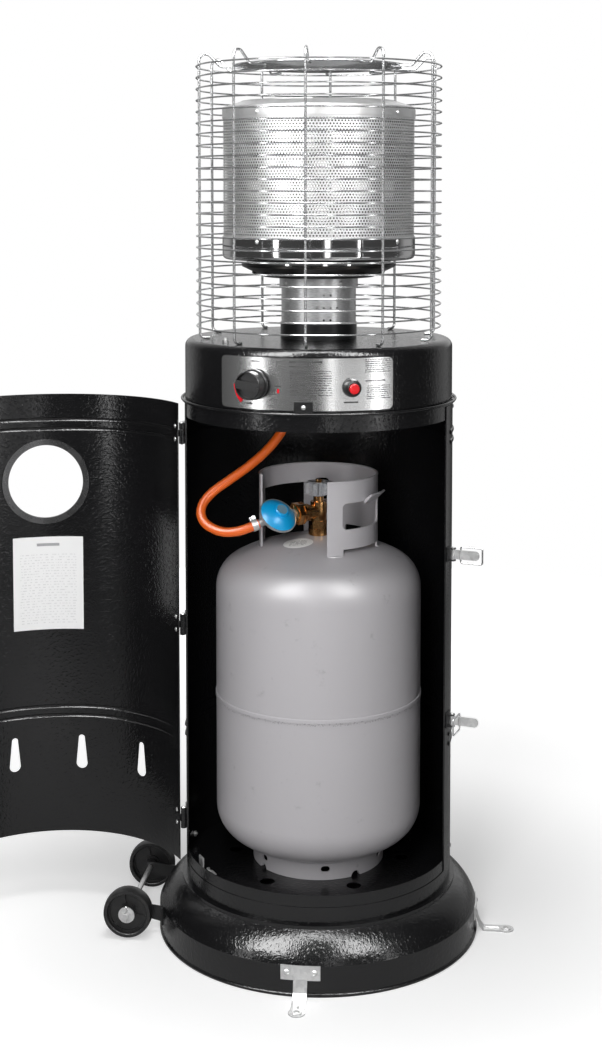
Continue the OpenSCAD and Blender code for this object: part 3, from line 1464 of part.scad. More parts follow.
base_shell();
base_tray();
tray_bracket();
anchor_tabs();
base_screws();
wheel_bracket();
wheel_axle();
wheel(-1);  // front_wheel
wheel(1);  // rear_wheel
wheel_retainers();
rear_shell();
housing_screws();
shell_rivets();
shell_hinge_leaves();
hinge_pins();
latch_brackets();
latch_pins();
latch_lever(1);  // upper_latch_lever
latch_lever(0);  // lower_latch_lever
latch_bail(1, 0);  // upper_latch_bail
latch_bail(0, lower_bail_angle);  // lower_latch_bail
door_panel();
window_trim();
door_hinge_leaves();
door_rivets();
door_strikes();
head_skirt();
head_drum();
head_screws();
control_plate();
front_catch();
control_knob();
knob_spindle();
thrust_washer();
gas_valve();
igniter_housing();
igniter_button();
gas_pipes();
tilt_switch();
hose_connector();
gas_hose();
hose_clamps();
regulator_body();
regulator_cap();
regulator_nut();
cylinder_tank();
cylinder_foot();
cylinder_collar();
cylinder_valve();
cylinder_handwheel();
burner_tube();
burner_cone();
burner_screws();
pilot_assembly();
emitter_pan();
emitter_screen();
emitter_cap();
guard_cage();
guard_dish();
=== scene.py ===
import math
import random

import bmesh
import bpy
from mathutils import Matrix, Vector


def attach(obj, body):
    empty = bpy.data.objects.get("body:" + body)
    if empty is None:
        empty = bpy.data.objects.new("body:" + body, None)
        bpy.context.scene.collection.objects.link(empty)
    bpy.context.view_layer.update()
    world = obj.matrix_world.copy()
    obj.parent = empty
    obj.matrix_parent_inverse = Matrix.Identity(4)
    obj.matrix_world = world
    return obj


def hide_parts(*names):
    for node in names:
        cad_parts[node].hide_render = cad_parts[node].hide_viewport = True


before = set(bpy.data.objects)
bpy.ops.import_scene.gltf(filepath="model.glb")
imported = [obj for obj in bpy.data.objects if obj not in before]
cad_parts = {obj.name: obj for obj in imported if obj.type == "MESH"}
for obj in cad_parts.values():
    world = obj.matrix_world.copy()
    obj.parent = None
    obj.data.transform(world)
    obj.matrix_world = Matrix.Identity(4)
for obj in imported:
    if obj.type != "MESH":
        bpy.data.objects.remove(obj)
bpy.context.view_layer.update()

# Camera. The photograph is taken from the front, six degrees to the right, with a long lens at
# chest height. The lens is tipped a little down and shifted, which keeps upright lines nearly so.
view_angle = math.radians(6)
view_across = -0.0042
view_back = 2.475
view_height = 1.148
view_tip = math.radians(3.83)
view_turn = math.radians(0.529)

lens = bpy.data.cameras.new("camera")
lens.lens = 54.95
lens.sensor_width = 36
lens.shift_y = -0.22
camera = bpy.data.objects.new("camera", lens)
camera.location = (
    view_across * math.cos(view_angle) + view_back * math.sin(view_angle),
    view_across * math.sin(view_angle) - view_back * math.cos(view_angle),
    view_height,
)
camera.rotation_euler = (math.radians(90) - view_tip, 0, view_angle + view_turn)
bpy.context.scene.collection.objects.link(camera)
bpy.context.scene.camera = camera

# Gas hose. An orange rubber hose, pushed on the regulator's barb and on the connector under the
# head. It leaves to the left, turns back and climbs, and its own stiffness holds the loop up.
MM = 0.001
hose_d = 14.5 * MM
hose_route = [
    (-84, -66, 642), (-98, -72, 637), (-115, -76, 632), (-135, -75, 630), (-153, -71, 634),
    (-168, -63, 642), (-175, -53, 655), (-172, -41, 669), (-158, -28, 684), (-135, -15, 700),
    (-108, -3, 719), (-81, 8, 743), (-60, 16, 770), (-50.9, 19.6, 796), (-50, 20, 812),
]
hose_orange = (0.92, 0.17, 0.016)
hose_shade = (0.80, 0.115, 0.010)


class Wire:
    """A socket among a material's nodes. Sums, products and comparisons of wires add Math nodes."""

    def __init__(self, tree, socket=None):
        self.tree = tree
        self.socket = socket

    def node(self, kind, settings=None, inputs=None, output=0):
        """Adds any other node: its settings first, then the values or wires of its sockets."""
        made = self.tree.nodes.new(kind)
        for name, value in (settings or {}).items():
            if name == "stops":
                stops = made.color_ramp.elements
                stops[0].position, stops[1].position = value[0][0], value[-1][0]
                stops[0].color, stops[1].color = (*value[0][1], 1), (*value[-1][1], 1)
                for place, colour in value[1:-1]:
                    stops.new(place).color = (*colour, 1)
            else:
                setattr(made, name, value)
        for name, value in (inputs or {}).items():
            target = made.inputs[name]
            if isinstance(value, Wire):
                self.tree.links.new(value.socket, target)
            elif isinstance(value, tuple) and len(value) < len(target.default_value):
                target.default_value = (*value, 1)
            else:
                target.default_value = value
        return Wire(self.tree, made.outputs[output])

    def maths(self, operation, *values):
        return self.node("ShaderNodeMath", {"operation": operation}, dict(enumerate(values)))

    def vector(self, operation, *values, output=0):
        return self.node("ShaderNodeVectorMath", {"operation": operation},
                         dict(enumerate(values)), output)

    def parts(self, names="XYZ"):
        """This vector's parts along the named axes."""
        return [self.node("ShaderNodeSeparateXYZ", None, {0: self}, name) for name in names]

    def mix(self, low, high):
        """A colour between low and high, where this wire is the share of high."""
        return self.node("ShaderNodeMix", {"data_type": "RGBA"}, {0: self, 6: low, 7: high}, 2)

    def between(self, low, high):
        """A number between low and high, where this wire is the share of high."""
        return low + (high - low) * self

    def ease(self, low, high):
        """0 where this wire is low, 1 where it is high, and smooth between."""
        return self.node("ShaderNodeMapRange", {"interpolation_type": "SMOOTHSTEP"},
                         {0: self, 1: low, 2: high})

    def largest(self, other):
        return self.maths("MAXIMUM", self, other)

    def whole(self):
        return self.maths("FLOOR", self)

    def rest(self):
        """What is over the whole number."""
        return self.maths("FRACT", self)

    def root(self):
        return self.maths("SQRT", self)

    def __add__(self, other):
        return self.maths("ADD", self, other)

    def __radd__(self, other):
        return self.maths("ADD", other, self)

    def __sub__(self, other):
        return self.maths("SUBTRACT", self, other)

    def __rsub__(self, other):
        return self.maths("SUBTRACT", other, self)

    def __mul__(self, other):
        return self.maths("MULTIPLY", self, other)

    def __rmul__(self, other):
        return self.maths("MULTIPLY", other, self)

    def __truediv__(self, other):
        return self.maths("DIVIDE", self, other)

    def __gt__(self, other):
        return self.maths("GREATER_THAN", self, other)

    def __lt__(self, other):
        return self.maths("LESS_THAN", self, other)

    def __abs__(self):
        return self.maths("ABSOLUTE", self)


def new_finish(name, **fixed):
    """A Principled material and a wire to start from. Fixed sockets are named in lower case."""
    material = bpy.data.materials.new(name)
    material.use_nodes = True
    sockets = {s.name.lower().replace(" ", "_"): s
               for s in material.node_tree.nodes["Principled BSDF"].inputs}
    for socket, value in fixed.items():
        sockets[socket].default_value = (*value, 1) if isinstance(value, tuple) else value
    return material, Wire(material.node_tree)


def vary(material, wires):
    """Feeds the shader's sockets that change over the surface."""
    shader = material.node_tree.nodes["Principled BSDF"]
    for socket, wire in wires.items():
        material.node_tree.links.new(wire.socket, shader.inputs[socket])


def surface(start):
    """The place on the piece, in metres of the heater's own frame."""
    return start.node("ShaderNodeTexCoord", output="Object")


def cloud(place, scale, detail=2.0, roughness=0.5):
    """Soft random patches, scale of them to the metre."""
    return place.node("ShaderNodeTexNoise", None, {
        "Vector": place, "Scale": scale, "Detail": detail, "Roughness": roughness})


def bump(height, strength, distance):
    """A Normal from this height, which stands up to distance over the surface."""
    return height.node("ShaderNodeBump", None, {
        "Strength": strength, "Distance": distance, "Height": height})


def coat_parts(material, *nodes):
    """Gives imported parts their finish."""
    for node in nodes:
        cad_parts[node].material_slots[0].material = material


def place_piece(piece, body):
    """Links a new piece and lets it ride on its body."""
    bpy.context.scene.collection.objects.link(piece)
    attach(piece, body)
    return piece


orange_rubber, start = new_finish("orange_rubber_finish", base_color=hose_orange, roughness=0.34)
place = surface(start)
vary(orange_rubber, {
    "Base Color": cloud(place, 55, detail=3).mix(hose_shade, hose_orange),
    "Roughness": cloud(place, 130).between(0.27, 0.41),
    "Normal": bump(cloud(place, 900, detail=3), strength=0.12, distance=0.3 * MM),
})

hose_line = bpy.data.curves.new("gas_hose_rubber", "CURVE")
hose_line.dimensions = "3D"
hose_line.bevel_depth = hose_d / 2
hose_line.bevel_resolution = 8
hose_line.resolution_u = 10
hose_line.use_fill_caps = True
run = hose_line.splines.new("BEZIER")
points = [Vector(p) * MM for p in hose_route]
run.bezier_points.add(len(points) - 1)
for k, knot in enumerate(run.bezier_points):
    before = points[max(k - 1, 0)]
    after = points[min(k + 1, len(points) - 1)]
    # A handle is a third of the stretch to the next knot, so a sixth of the span between two.
    lean = (after - before) / (6 if 0 < k < len(points) - 1 else 3)
    knot.co = points[k]
    knot.handle_left = points[k] - lean
    knot.handle_right = points[k] + lean
hose_line.materials.append(orange_rubber)
hose = place_piece(bpy.data.objects.new("gas_hose_rubber", hose_line), "heater")
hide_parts("gas_hose")

# Base, tray, housing, door, hinge leaves and head are deep-drawn and rolled steel sheets,
# powder-coated black. The coat is semi-gloss with a fine pebbled skin, which breaks its
# highlights into speckles.
enamel_black = (0.0045, 0.0045, 0.005)
enamel_worn = (0.010, 0.010, 0.011)

black_enamel, start = new_finish("black_enamel_finish", base_color=enamel_black, roughness=0.3)
place = surface(start)
pebbles = place.node("ShaderNodeTexVoronoi", {"feature": "SMOOTH_F1"},
                     {"Vector": place, "Scale": 360, "Smoothness": 0.4})
pebble_height = cloud(place, 210, detail=1).ease(0.45, 0.7).between(0.25, 1.25)
skin = pebbles * pebble_height + cloud(place, 700, detail=1) * 0.25
smears = cloud(place, 7, detail=4, roughness=0.6)
vary(black_enamel, {
    "Base Color": (cloud(place, 900) * smears).mix(enamel_black, enamel_worn),
    "Roughness": smears.between(0.14, 0.26),
    "Normal": bump(skin, strength=1.0, distance=0.27 * MM),
})
coat_parts(black_enamel, "base_shell", "base_tray", "rear_shell", "door_panel", "head_skirt",
           "head_drum", "shell_hinge_leaves", "door_hinge_leaves")

# Anchor tabs, tray bracket, screws, pins, rivets, strikes, clamps and latch levers are pressed or
# turned steel with bright zinc plating, which shows a faint spangle and small changes of gloss.
zinc_light = (0.80, 0.80, 0.795)
zinc_dull = (0.58, 0.58, 0.585)

zinc, start = new_finish("zinc_finish", base_color=zinc_light, roughness=0.3, metallic=0.8)
place = surface(start)
spangle = place.node("ShaderNodeTexVoronoi", None, {"Vector": place, "Scale": 190}, "Color")
patch = spangle.node("ShaderNodeSeparateColor", None, {0: spangle})
fine = cloud(place, 420, detail=4, roughness=0.6)
vary(zinc, {
    "Base Color": (patch * 0.5 + fine * 0.5).mix(zinc_dull, zinc_light),
    "Roughness": fine.between(0.2, 0.42) + 0.08 * patch,
    "Normal": bump(fine, strength=0.15, distance=0.15 * MM),
})
coat_parts(zinc, "tray_bracket", "anchor_tabs", "base_screws", "wheel_axle", "wheel_retainers",
           "housing_screws", "shell_rivets", "hinge_pins", "latch_pins", "upper_latch_lever",
           "lower_latch_lever", "door_rivets", "head_screws", "thrust_washer", "hose_clamps",
           "door_strikes", "burner_screws")

# Wheel bracket, latch brackets and the louvred cone are steel with a baked matt black coat. The
# cone has seen heat, so its coat is browner and uneven.
matt_black = (0.012, 0.012, 0.0125)
heat_brown = (0.035, 0.028, 0.024)

bracket_black, start = new_finish("bracket_finish", base_color=matt_black, roughness=0.45)
place = surface(start)
vary(bracket_black, {
    "Roughness": cloud(place, 60, detail=4).between(0.36, 0.56),
    "Normal": bump(cloud(place, 1100), strength=0.25, distance=0.25 * MM),
})
coat_parts(bracket_black, "wheel_bracket", "latch_brackets")

cone_black, start = new_finish("cone_finish", base_color=matt_black, roughness=0.3, metallic=0.6)
place = surface(start)
heat = cloud(place, 22, detail=5, roughness=0.6)
vary(cone_black, {
    "Base Color": heat.ease(0.35, 0.75).mix(matt_black, heat_brown),
    "Roughness": heat.between(0.2, 0.45),
    "Normal": bump(cloud(place, 700, detail=3), strength=0.15, distance=0.2 * MM),
})
coat_parts(cone_black, "burner_cone")

# Transport wheels are moulded in black plastic with a matt, slightly grained tread, which takes
# on dust from the ground. They turn on the axle between its zinc retainers.
tyre_black = (0.012, 0.012, 0.0125)
tyre_dusty = (0.028, 0.027, 0.026)

wheel_black, start = new_finish("wheel_finish", base_color=tyre_black, roughness=0.5)
place = surface(start)
dust = cloud(place, 90, detail=5, roughness=0.65)
vary(wheel_black, {
    "Base Color": dust.ease(0.45, 0.8).mix(tyre_black, tyre_dusty),
    "Roughness": dust.between(0.28, 0.53),
    "Normal": bump(cloud(place, 1000, detail=3), strength=0.3, distance=0.25 * MM),
})
coat_parts(wheel_black, "front_wheel", "rear_wheel")

# The emitter pan is stainless steel sheet, buffed bright after pressing. The buffing leaves hair
# lines that run round the heater, and the pressing a faint wave in what it mirrors.
bright_steel = (0.66, 0.66, 0.66)
soft_steel = (0.52, 0.52, 0.525)


def round_angle(x, y):
    """The angle round the heater's axis, from the front towards the right."""
    return x.maths("ARCTAN2", x, 0 - y)


def flat_place(across, up):
    """A place on a sheet that is laid flat, for marks and brushing that follow the sheet."""
    return across.node("ShaderNodeCombineXYZ", None, {0: across, 1: up})


def hair_lines(place, along, up, detail=3.0):
    """Brushing that runs round the axis: long round the heater, fine up it."""
    x, y, z = place.parts()
    return cloud(flat_place(round_angle(x, y) * along, z * up), 1.0, detail, roughness=0.6)


polished, start = new_finish("polished_steel_finish", base_color=bright_steel, roughness=0.08,
                             metallic=1.0)
place = surface(start)
lines = hair_lines(place, along=14, up=1500)
vary(polished, {
    "Base Color": lines.mix(soft_steel, bright_steel),
    "Roughness": lines.between(0.04, 0.09) + 0.04 * cloud(place, 30, detail=3),
    "Normal": bump(cloud(place, 16), strength=0.10, distance=1.2 * MM),
})
coat_parts(polished, "emitter_pan")

# Window trim. A beaded steel ring that grips the door's sheet from both sides of the window hole,
# with a dark polished coat.
trim_dark = (0.12, 0.12, 0.122)
trim_rubbed = (0.18, 0.18, 0.182)

trim_steel, start = new_finish("window_trim_finish", base_color=trim_dark, roughness=0.25,
                               metallic=0.9)
place = surface(start)
handled = cloud(place, 40, detail=4, roughness=0.6)
vary(trim_steel, {
    "Base Color": handled.mix(trim_dark, trim_rubbed),
    "Roughness": handled.between(0.2, 0.34),
    "Normal": bump(cloud(place, 500), strength=0.1, distance=0.15 * MM),
})
coat_parts(trim_steel, "window_trim")

# Emitter cap. The pan's stainless sheet, left with its satin mill finish and lightly stained by
# the heat. It closes the top of the screen.
mill_light = (0.70, 0.70, 0.705)
mill_dark = (0.50, 0.495, 0.49)

mill_steel, start = new_finish("emitter_cap_finish", base_color=mill_light, roughness=0.3,
                               metallic=0.7)
place = surface(start)
stain = cloud(place, 18, detail=5, roughness=0.6)
vary(mill_steel, {
    "Base Color": stain.ease(0.35, 0.75).mix(mill_light, mill_dark),
    "Roughness": stain.between(0.34, 0.50),
    "Normal": bump(cloud(place, 300, detail=3), strength=0.08, distance=0.15 * MM),
})
coat_parts(mill_steel, "emitter_cap")

# Door label. A plain white paper label is stuck inside the door, below the window, with a generic
# heading bar and ruled lines. It follows the curve of the sheet.
door_radius = 204.5 * MM
hinge_axis = Vector((-202.826, -58.159, 0)) * MM
door_turn = math.radians(-163.5)
label_lift = 0.25 * MM
label_angles = (-16.4, 14.9)
label_heights = (444 * MM, 594 * MM)
label_columns, label_rows = 24, 2
label_lines = 34
paper = (0.95, 0.95, 0.95)
ink = (0.22, 0.22, 0.23)


def door_place(angle, radius, height):
    """A point of the closed door, carried to where the door stands open."""
    point = Vector((radius * math.sin(angle), -radius * math.cos(angle), height))
    return hinge_axis + Matrix.Rotation(door_turn, 3, "Z") @ (point - hinge_axis)


def mesh_piece(name, shape, material, body):
    """A new piece from a bmesh, in metres of the heater's own frame."""
    mesh = bpy.data.meshes.new(name)
    bmesh.ops.recalc_face_normals(shape, faces=shape.faces)
    shape.to_mesh(mesh)
    shape.free()
    for face in mesh.polygons:
        face.use_smooth = True
    mesh.materials.append(material)
    return place_piece(bpy.data.objects.new(name, mesh), body)


def stripe(value, low, high):
    """1 between low and high, 0 outside."""
    return (value > low) * (value < high)


label_paper, start = new_finish("label_finish", base_color=paper, roughness=0.45)
u, v = start.node("ShaderNodeUVMap", {"uv_map": "patch"}).parts("XY")
row = v * label_lines
words = cloud(flat_place(u * 26, row.whole() * 7), 1.0, detail=1)
text_area = stripe(u, 0.1, 0.9) * stripe(v, 0.06, 0.82)
text_rows = stripe(row.rest(), 0.34, 0.62) * text_area * (words > 0.5)
heading = stripe(v, 0.90, 0.93) * stripe(u, 0.34, 0.66)
print_mask = (text_rows * 0.28).largest(heading * 0.8)
vary(label_paper, {
    "Base Color": print_mask.mix(paper, ink),
    "Roughness": cloud(surface(start), 300).between(0.4, 0.5),
})

shape = bmesh.new()
uv = shape.loops.layers.uv.new("patch")
grid = []
for r in range(label_rows + 1):
    height = label_heights[0] + (label_heights[1] - label_heights[0]) * r / label_rows
    grid.append([])
    for c in range(label_columns + 1):
        angle = label_angles[0] + (label_angles[1] - label_angles[0]) * c / label_columns
        spot = door_place(math.radians(angle), door_radius - label_lift, height)
        grid[-1].append(shape.verts.new(spot))
for r in range(label_rows):
    for c in range(label_columns):
        corners = [(c, r), (c + 1, r), (c + 1, r + 1), (c, r + 1)]
        face = shape.faces.new([grid[j][i] for i, j in corners])
        for loop, (i, j) in zip(face.loops, corners):
            loop[uv].uv = (i / label_columns, j / label_rows)
mesh_piece("door_label", shape, label_paper, "door")

# Control plate. A brushed stainless plate, bent round the front of the drum, with screened marks:
# ruled lines for the instructions, a red arc for the burner setting and a red dot at the off stop.
plate_radius = 205.4 * MM
knob_centre = (-71.7, 870.0)
arc_radii = (28.5, 37.5)
arc_turns = (-3.1, -2.3)
dot_across = (-38.6, -35.4)
dot_up = (858.5, 864.5)
brushed_light = (0.88, 0.88, 0.88)
brushed_dark = (0.66, 0.66, 0.66)
print_black = (0.02, 0.02, 0.02)
print_red = (0.72, 0.012, 0.025)
ink_cover = 0.92

# One block of ruled lines in each row: its left, right, low and high edge in mm, the pitch of its
# lines, the inked share of the pitch, and the noise above which a word stands.
print_blocks = [
    (-21, 27, 902, 905, 3.0, 0.9, 0.36),
    (-21, 12, 896.4, 898.2, 1.8, 0.9, 0.42),
    (-20, 40, 856, 891, 3.4, 0.36, 0.44),
    (88, 128, 888, 908, 2.9, 0.40, 0.42),
    (89, 120, 875, 877.5, 2.5, 0.7, 0.42),
    (91, 128, 850, 871, 3.0, 0.40, 0.42),
    (57, 78, 845, 847.4, 2.4, 0.9, 0.38),
    (-78, -64, 902, 904.2, 2.2, 0.9, 0.38),
    (-87, -77, 841, 843.6, 2.6, 0.9, 0.38),
    (-42, -33, 867, 869.2, 2.2, 0.9, 0.38),
]

plate_steel, start = new_finish("control_plate_finish", base_color=brushed_light, roughness=0.3,
                                metallic=1.0)
x, y, z = surface(start).parts()
across = round_angle(x, y) * (plate_radius / MM)
up = z * (1 / MM)
brushing = cloud(flat_place(across * 0.035, up * 3.2), 1.0, detail=5, roughness=0.75)


def printed_rows(left, right, low, high, pitch, share, words):
    """Ruled lines, broken into words by slow noise along each row."""
    row = (up - low) / pitch
    gaps = cloud(flat_place(across * 0.55, row.whole() * 5.3), 1.0, detail=1)
    block = stripe(across, left, right) * stripe(up, low, high)
    return block * (row.rest() < share) * (gaps > words)


black_ink = printed_rows(*print_blocks[0])
for block in print_blocks[1:]:
    black_ink = black_ink.largest(printed_rows(*block))
black_ink = black_ink * ink_cover
dx, dy = across - knob_centre[0], up - knob_centre[1]
arc = (stripe((dx * dx + dy * dy).root(), *arc_radii)
       * stripe(dx.maths("ARCTAN2", dy, dx), *arc_turns))
red_ink = arc.largest(stripe(across, *dot_across) * stripe(up, *dot_up))
steel = brushing.ease(0.25, 0.75).mix(brushed_dark, brushed_light)
vary(plate_steel, {
    "Base Color": red_ink.mix(black_ink.mix(steel, print_black), print_red),
    "Metallic": 1 - black_ink.largest(red_ink),
    "Roughness": brushing.between(0.17, 0.29),
    "Normal": bump(brushing, strength=0.12, distance=0.12 * MM),
})
coat_parts(plate_steel, "control_plate")

# Control knob, igniter boss and front catch are moulded in black plastic, satin with a faint
# grain. The tilt switch inside the head has the same housing plastic.
knob_black = (0.014, 0.014, 0.0145)
knob_rubbed = (0.03, 0.03, 0.031)

black_plastic, start = new_finish("black_plastic_finish", base_color=knob_black, roughness=0.3,
                                  specular_ior_level=0.3)
place = surface(start)
wear = cloud(place, 140, detail=4, roughness=0.6)
vary(black_plastic, {
    "Base Color": wear.ease(0.5, 0.8).mix(knob_black, knob_rubbed),
    "Roughness": wear.between(0.22, 0.38),
    "Normal": bump(cloud(place, 1500), strength=0.10, distance=0.15 * MM),
})
coat_parts(black_plastic, "control_knob", "igniter_housing", "front_catch", "tilt_switch")

# Igniter button and bezel. The glossy red cap is narrower than its bore, with a rolled edge, and
# slides in the boss. A domed black bezel, pressed over the boss, narrows from the plate to the cap.
button_red = (0.78, 0.012, 0.018)
button_shade = (0.68, 0.010, 0.015)
igniter_turn = math.radians(19)
igniter_height = 867.0
turned_sides = 48
cap_profile = [(213.2, 6.0), (213.2, 7.4), (223.0, 7.4), (224.0, 7.2), (224.7, 6.7), (224.95, 6.0)]
bezel_profile = [
    (205.6, 11.0), (205.6, 13.2), (209.0, 13.3), (212.5, 12.9), (215.5, 12.2), (218.0, 11.3),
    (220.0, 10.2), (221.4, 9.1), (221.9, 8.4), (221.8, 7.9), (219.15, 7.8), (219.15, 11.0),
    (205.6, 11.0),
]

red_plastic, start = new_finish("red_plastic_finish", base_color=button_red, roughness=0.22)
place = surface(start)
vary(red_plastic, {
    "Base Color": cloud(place, 200).mix(button_shade, button_red),
    "Roughness": cloud(place, 300, detail=3).between(0.18, 0.30),
})
coat_parts(red_plastic, "igniter_button")


def turned_piece(name, profile, material, body):
    """A piece turned on the igniter's axis. The profile is a list of distances from the heater's
    axis with radii, in mm, and a profile that ends where it starts makes a ring."""
    out = Vector((math.sin(igniter_turn), -math.cos(igniter_turn), 0))
    side = out.cross(Vector((0, 0, 1)))
    shape = bmesh.new()
    loops = []
    for along, radius in profile:
        loops.append([])
        for k in range(turned_sides):
            around = 2 * math.pi * k / turned_sides
            spot = (out * along + side * radius * math.cos(around)
                    + Vector((0, 0, igniter_height + radius * math.sin(around))))
            loops[-1].append(shape.verts.new(spot * MM))
    for one, two in zip(loops, loops[1:]):
        for k in range(turned_sides):
            after = (k + 1) % turned_sides
            shape.faces.new((one[k], one[after], two[after], two[k]))
    if profile[0] == profile[-1]:
        bmesh.ops.remove_doubles(shape, verts=shape.verts, dist=1e-6)
    else:
        shape.faces.new(loops[0])
        shape.faces.new(loops[-1])
    return mesh_piece(name, shape, material, body)


cap = turned_piece("igniter_red_cap", cap_profile, red_plastic, "button")
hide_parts("igniter_button")
turned_piece("igniter_bezel", bezel_profile, black_plastic, "heater")

# Brass of the gas train: the cast and turned valve in the head, the hose connector under its
# floor, the regulator's nut and the valve on the gas cylinder, all a little tarnished.
brass_light = (0.82, 0.47, 0.19)
brass_dark = (0.30, 0.13, 0.045)

brass, start = new_finish("brass_finish", base_color=brass_light, roughness=0.25, metallic=1.0)
place = surface(start)
tarnish = cloud(place, 70, detail=5, roughness=0.65)
vary(brass, {
    "Base Color": tarnish.ease(0.3, 0.72).mix(brass_light, brass_dark),
    "Roughness": tarnish.between(0.12, 0.32),
    "Normal": bump(cloud(place, 260, detail=3), strength=0.25, distance=0.4 * MM),
})
coat_parts(brass, "gas_valve", "hose_connector", "regulator_nut", "cylinder_valve")

# Gas pipes in the head. Drawn copper tube, bent to run from the hose connector to the valve and
# from the valve up to the jet, and darkened in patches.
copper_red = (0.72, 0.33, 0.17)
copper_dark = (0.42, 0.18, 0.10)

copper, start = new_finish("copper_finish", base_color=copper_red, roughness=0.28, metallic=1.0)
place = surface(start)
vary(copper, {
    "Base Color": cloud(place, 60, detail=4).mix(copper_dark, copper_red),
    "Roughness": cloud(place, 120, detail=3).between(0.22, 0.42),
})
coat_parts(copper, "gas_pipes")

# Gas cylinder. Two deep-drawn halves welded at the middle, with a foot ring and a collar welded
# on, all stove-enamelled light grey. The enamel is satin, with small scuffs from handling. Just
# below the middle seam, darker patches where the bead stands tallest are painted shade.
cylinder_grey = (0.48, 0.465, 0.485)
# The scuffs and the painted shade under the seam share this darker grey.
scuff_and_shade_grey = (0.33, 0.32, 0.335)
wall_from = 150 * MM
seam_height = 369.5 * MM
seam_halves = (1.2 * MM, 4.5 * MM)
seam_shade_below = (6.5 * MM, 1.5 * MM)
foot_radius, foot_weld_z, foot_weld_width = 101.9 * MM, 135.0 * MM, 2.6 * MM
collar_radius, collar_weld_z, collar_weld_width = 92.6 * MM, 598.4 * MM, 2.4 * MM
collar_feet = [(14, 30), (84, 100), (122, 137), (157, 201), (256, 291)]
bead_sides = 8
bead_flatness = 0.55

grey_enamel, start = new_finish("grey_enamel_finish", base_color=cylinder_grey, roughness=0.38)
place = surface(start)
x, y, z = place.parts()
ripple = cloud(flat_place(round_angle(x, y) * 60, z * 350), 1.0)
on_wall = place.vector("LENGTH", flat_place(x, y), output="Value") > wall_from
seam = on_wall * (1 - abs(z - seam_height).ease(*seam_halves))
# Painted shade: a patchy darker stripe just below the seam bead, where the bead is tallest.
seam_shade_patches = on_wall * stripe(z, *(seam_height - below for below in seam_shade_below)) * (ripple > 0.57)
scuffs = cloud(place, 34, detail=6, roughness=0.7)
skin = cloud(place, 420, detail=3) * 0.1
vary(grey_enamel, {
    "Base Color": scuffs.ease(0.60, 0.80).largest(seam_shade_patches).mix(cylinder_grey, scuff_and_shade_grey),
    "Roughness": cloud(place, 18, detail=3).between(0.34, 0.48),
    "Normal": bump(skin + seam * (0.6 + ripple), strength=0.5, distance=1.0 * MM),
})
coat_parts(grey_enamel, "cylinder_tank", "cylinder_foot", "cylinder_collar")


def weld_bead(name, radius, height, a0, a1, width, lean):
    """A rippled fillet weld along an arc round the axis, from angle a0 to a1 in degrees. lean is
    the tilt of its flat oval section, and an open bead tapers at its ends."""
    shape = bmesh.new()
    closed = a1 - a0 >= 360
    steps = max(12, int((a1 - a0) * 2))
    loops = []
    for k in range(steps + 1):
        angle = math.radians(a0 + (a1 - a0) * k / steps)
        ripple = 1 + 0.10 * math.sin(k * 2.1) + random.uniform(-0.06, 0.06)
        taper = 1.0 if closed else min(1.0, 0.25 + 4 * min(k, steps - k) / steps)
        loops.append([])
        for s in range(bead_sides):
            around = 2 * math.pi * s / bead_sides
            wide = width * ripple * taper * math.cos(around)
            tall = width * bead_flatness * ripple * taper * math.sin(around)
            r = radius + wide * math.cos(lean) - tall * math.sin(lean)
            h = height + wide * math.sin(lean) + tall * math.cos(lean)
            loops[-1].append(shape.verts.new((r * math.sin(angle), -r * math.cos(angle), h)))
    last = len(loops) - 1
    for k in range(last):
        one, two = loops[k], loops[0] if closed and k == last - 1 else loops[k + 1]
        for s in range(bead_sides):
            after = (s + 1) % bead_sides
            shape.faces.new((one[s], one[after], two[after], two[s]))
    if closed:
        for vertex in loops[last]:
            shape.verts.remove(vertex)
    else:
        shape.faces.new(loops[0])
        shape.faces.new(list(reversed(loops[last])))
    return mesh_piece(name, shape, grey_enamel, "heater")


random.seed(7)
weld_bead("foot_weld", foot_radius, foot_weld_z, 0, 360, foot_weld_width, math.radians(45))
for k, (a0, a1) in enumerate(collar_feet):
    weld_bead(f"collar_weld_{k + 1}", collar_radius, collar_weld_z, a0 + 0.5, a1 - 0.5,
              collar_weld_width, math.radians(-40))

# Cylinder sticker. An oval paper label with a few ruled lines, stuck on the crown beside the
# valve, where it follows the curve of the steel.
sticker_x, sticker_y = -26.6, -43.0
sticker_half = (23 * MM, 20 * MM)
sticker_lift = 0.25 * MM
sticker_edge_lift = 0.02 * MM
sticker_sides = 48
crown_radius = 285 * MM
crown_centre_z = 329 * MM
line_pitch = 5.2
sticker_paper = (0.88, 0.88, 0.87)
sticker_ink = (0.10, 0.10, 0.11)

sticker_white, start = new_finish("sticker_finish", base_color=sticker_paper, roughness=0.4)
place = surface(start)
x, y = (part * (1 / MM) for part in place.parts("XY"))
from_middle = y - sticker_y
line = from_middle / line_pitch
words = cloud(flat_place(x * 0.5, line.whole() * 5.3), 1.0, detail=1)
marks = (stripe(x - sticker_x, -13, 13) * stripe(from_middle, -10, 10)
         * (line.rest() < 0.42) * (words > 0.42))
vary(sticker_white, {
    "Base Color": (marks * 0.7).mix(sticker_paper, sticker_ink),
    "Roughness": cloud(place, 200).between(0.34, 0.46),
})

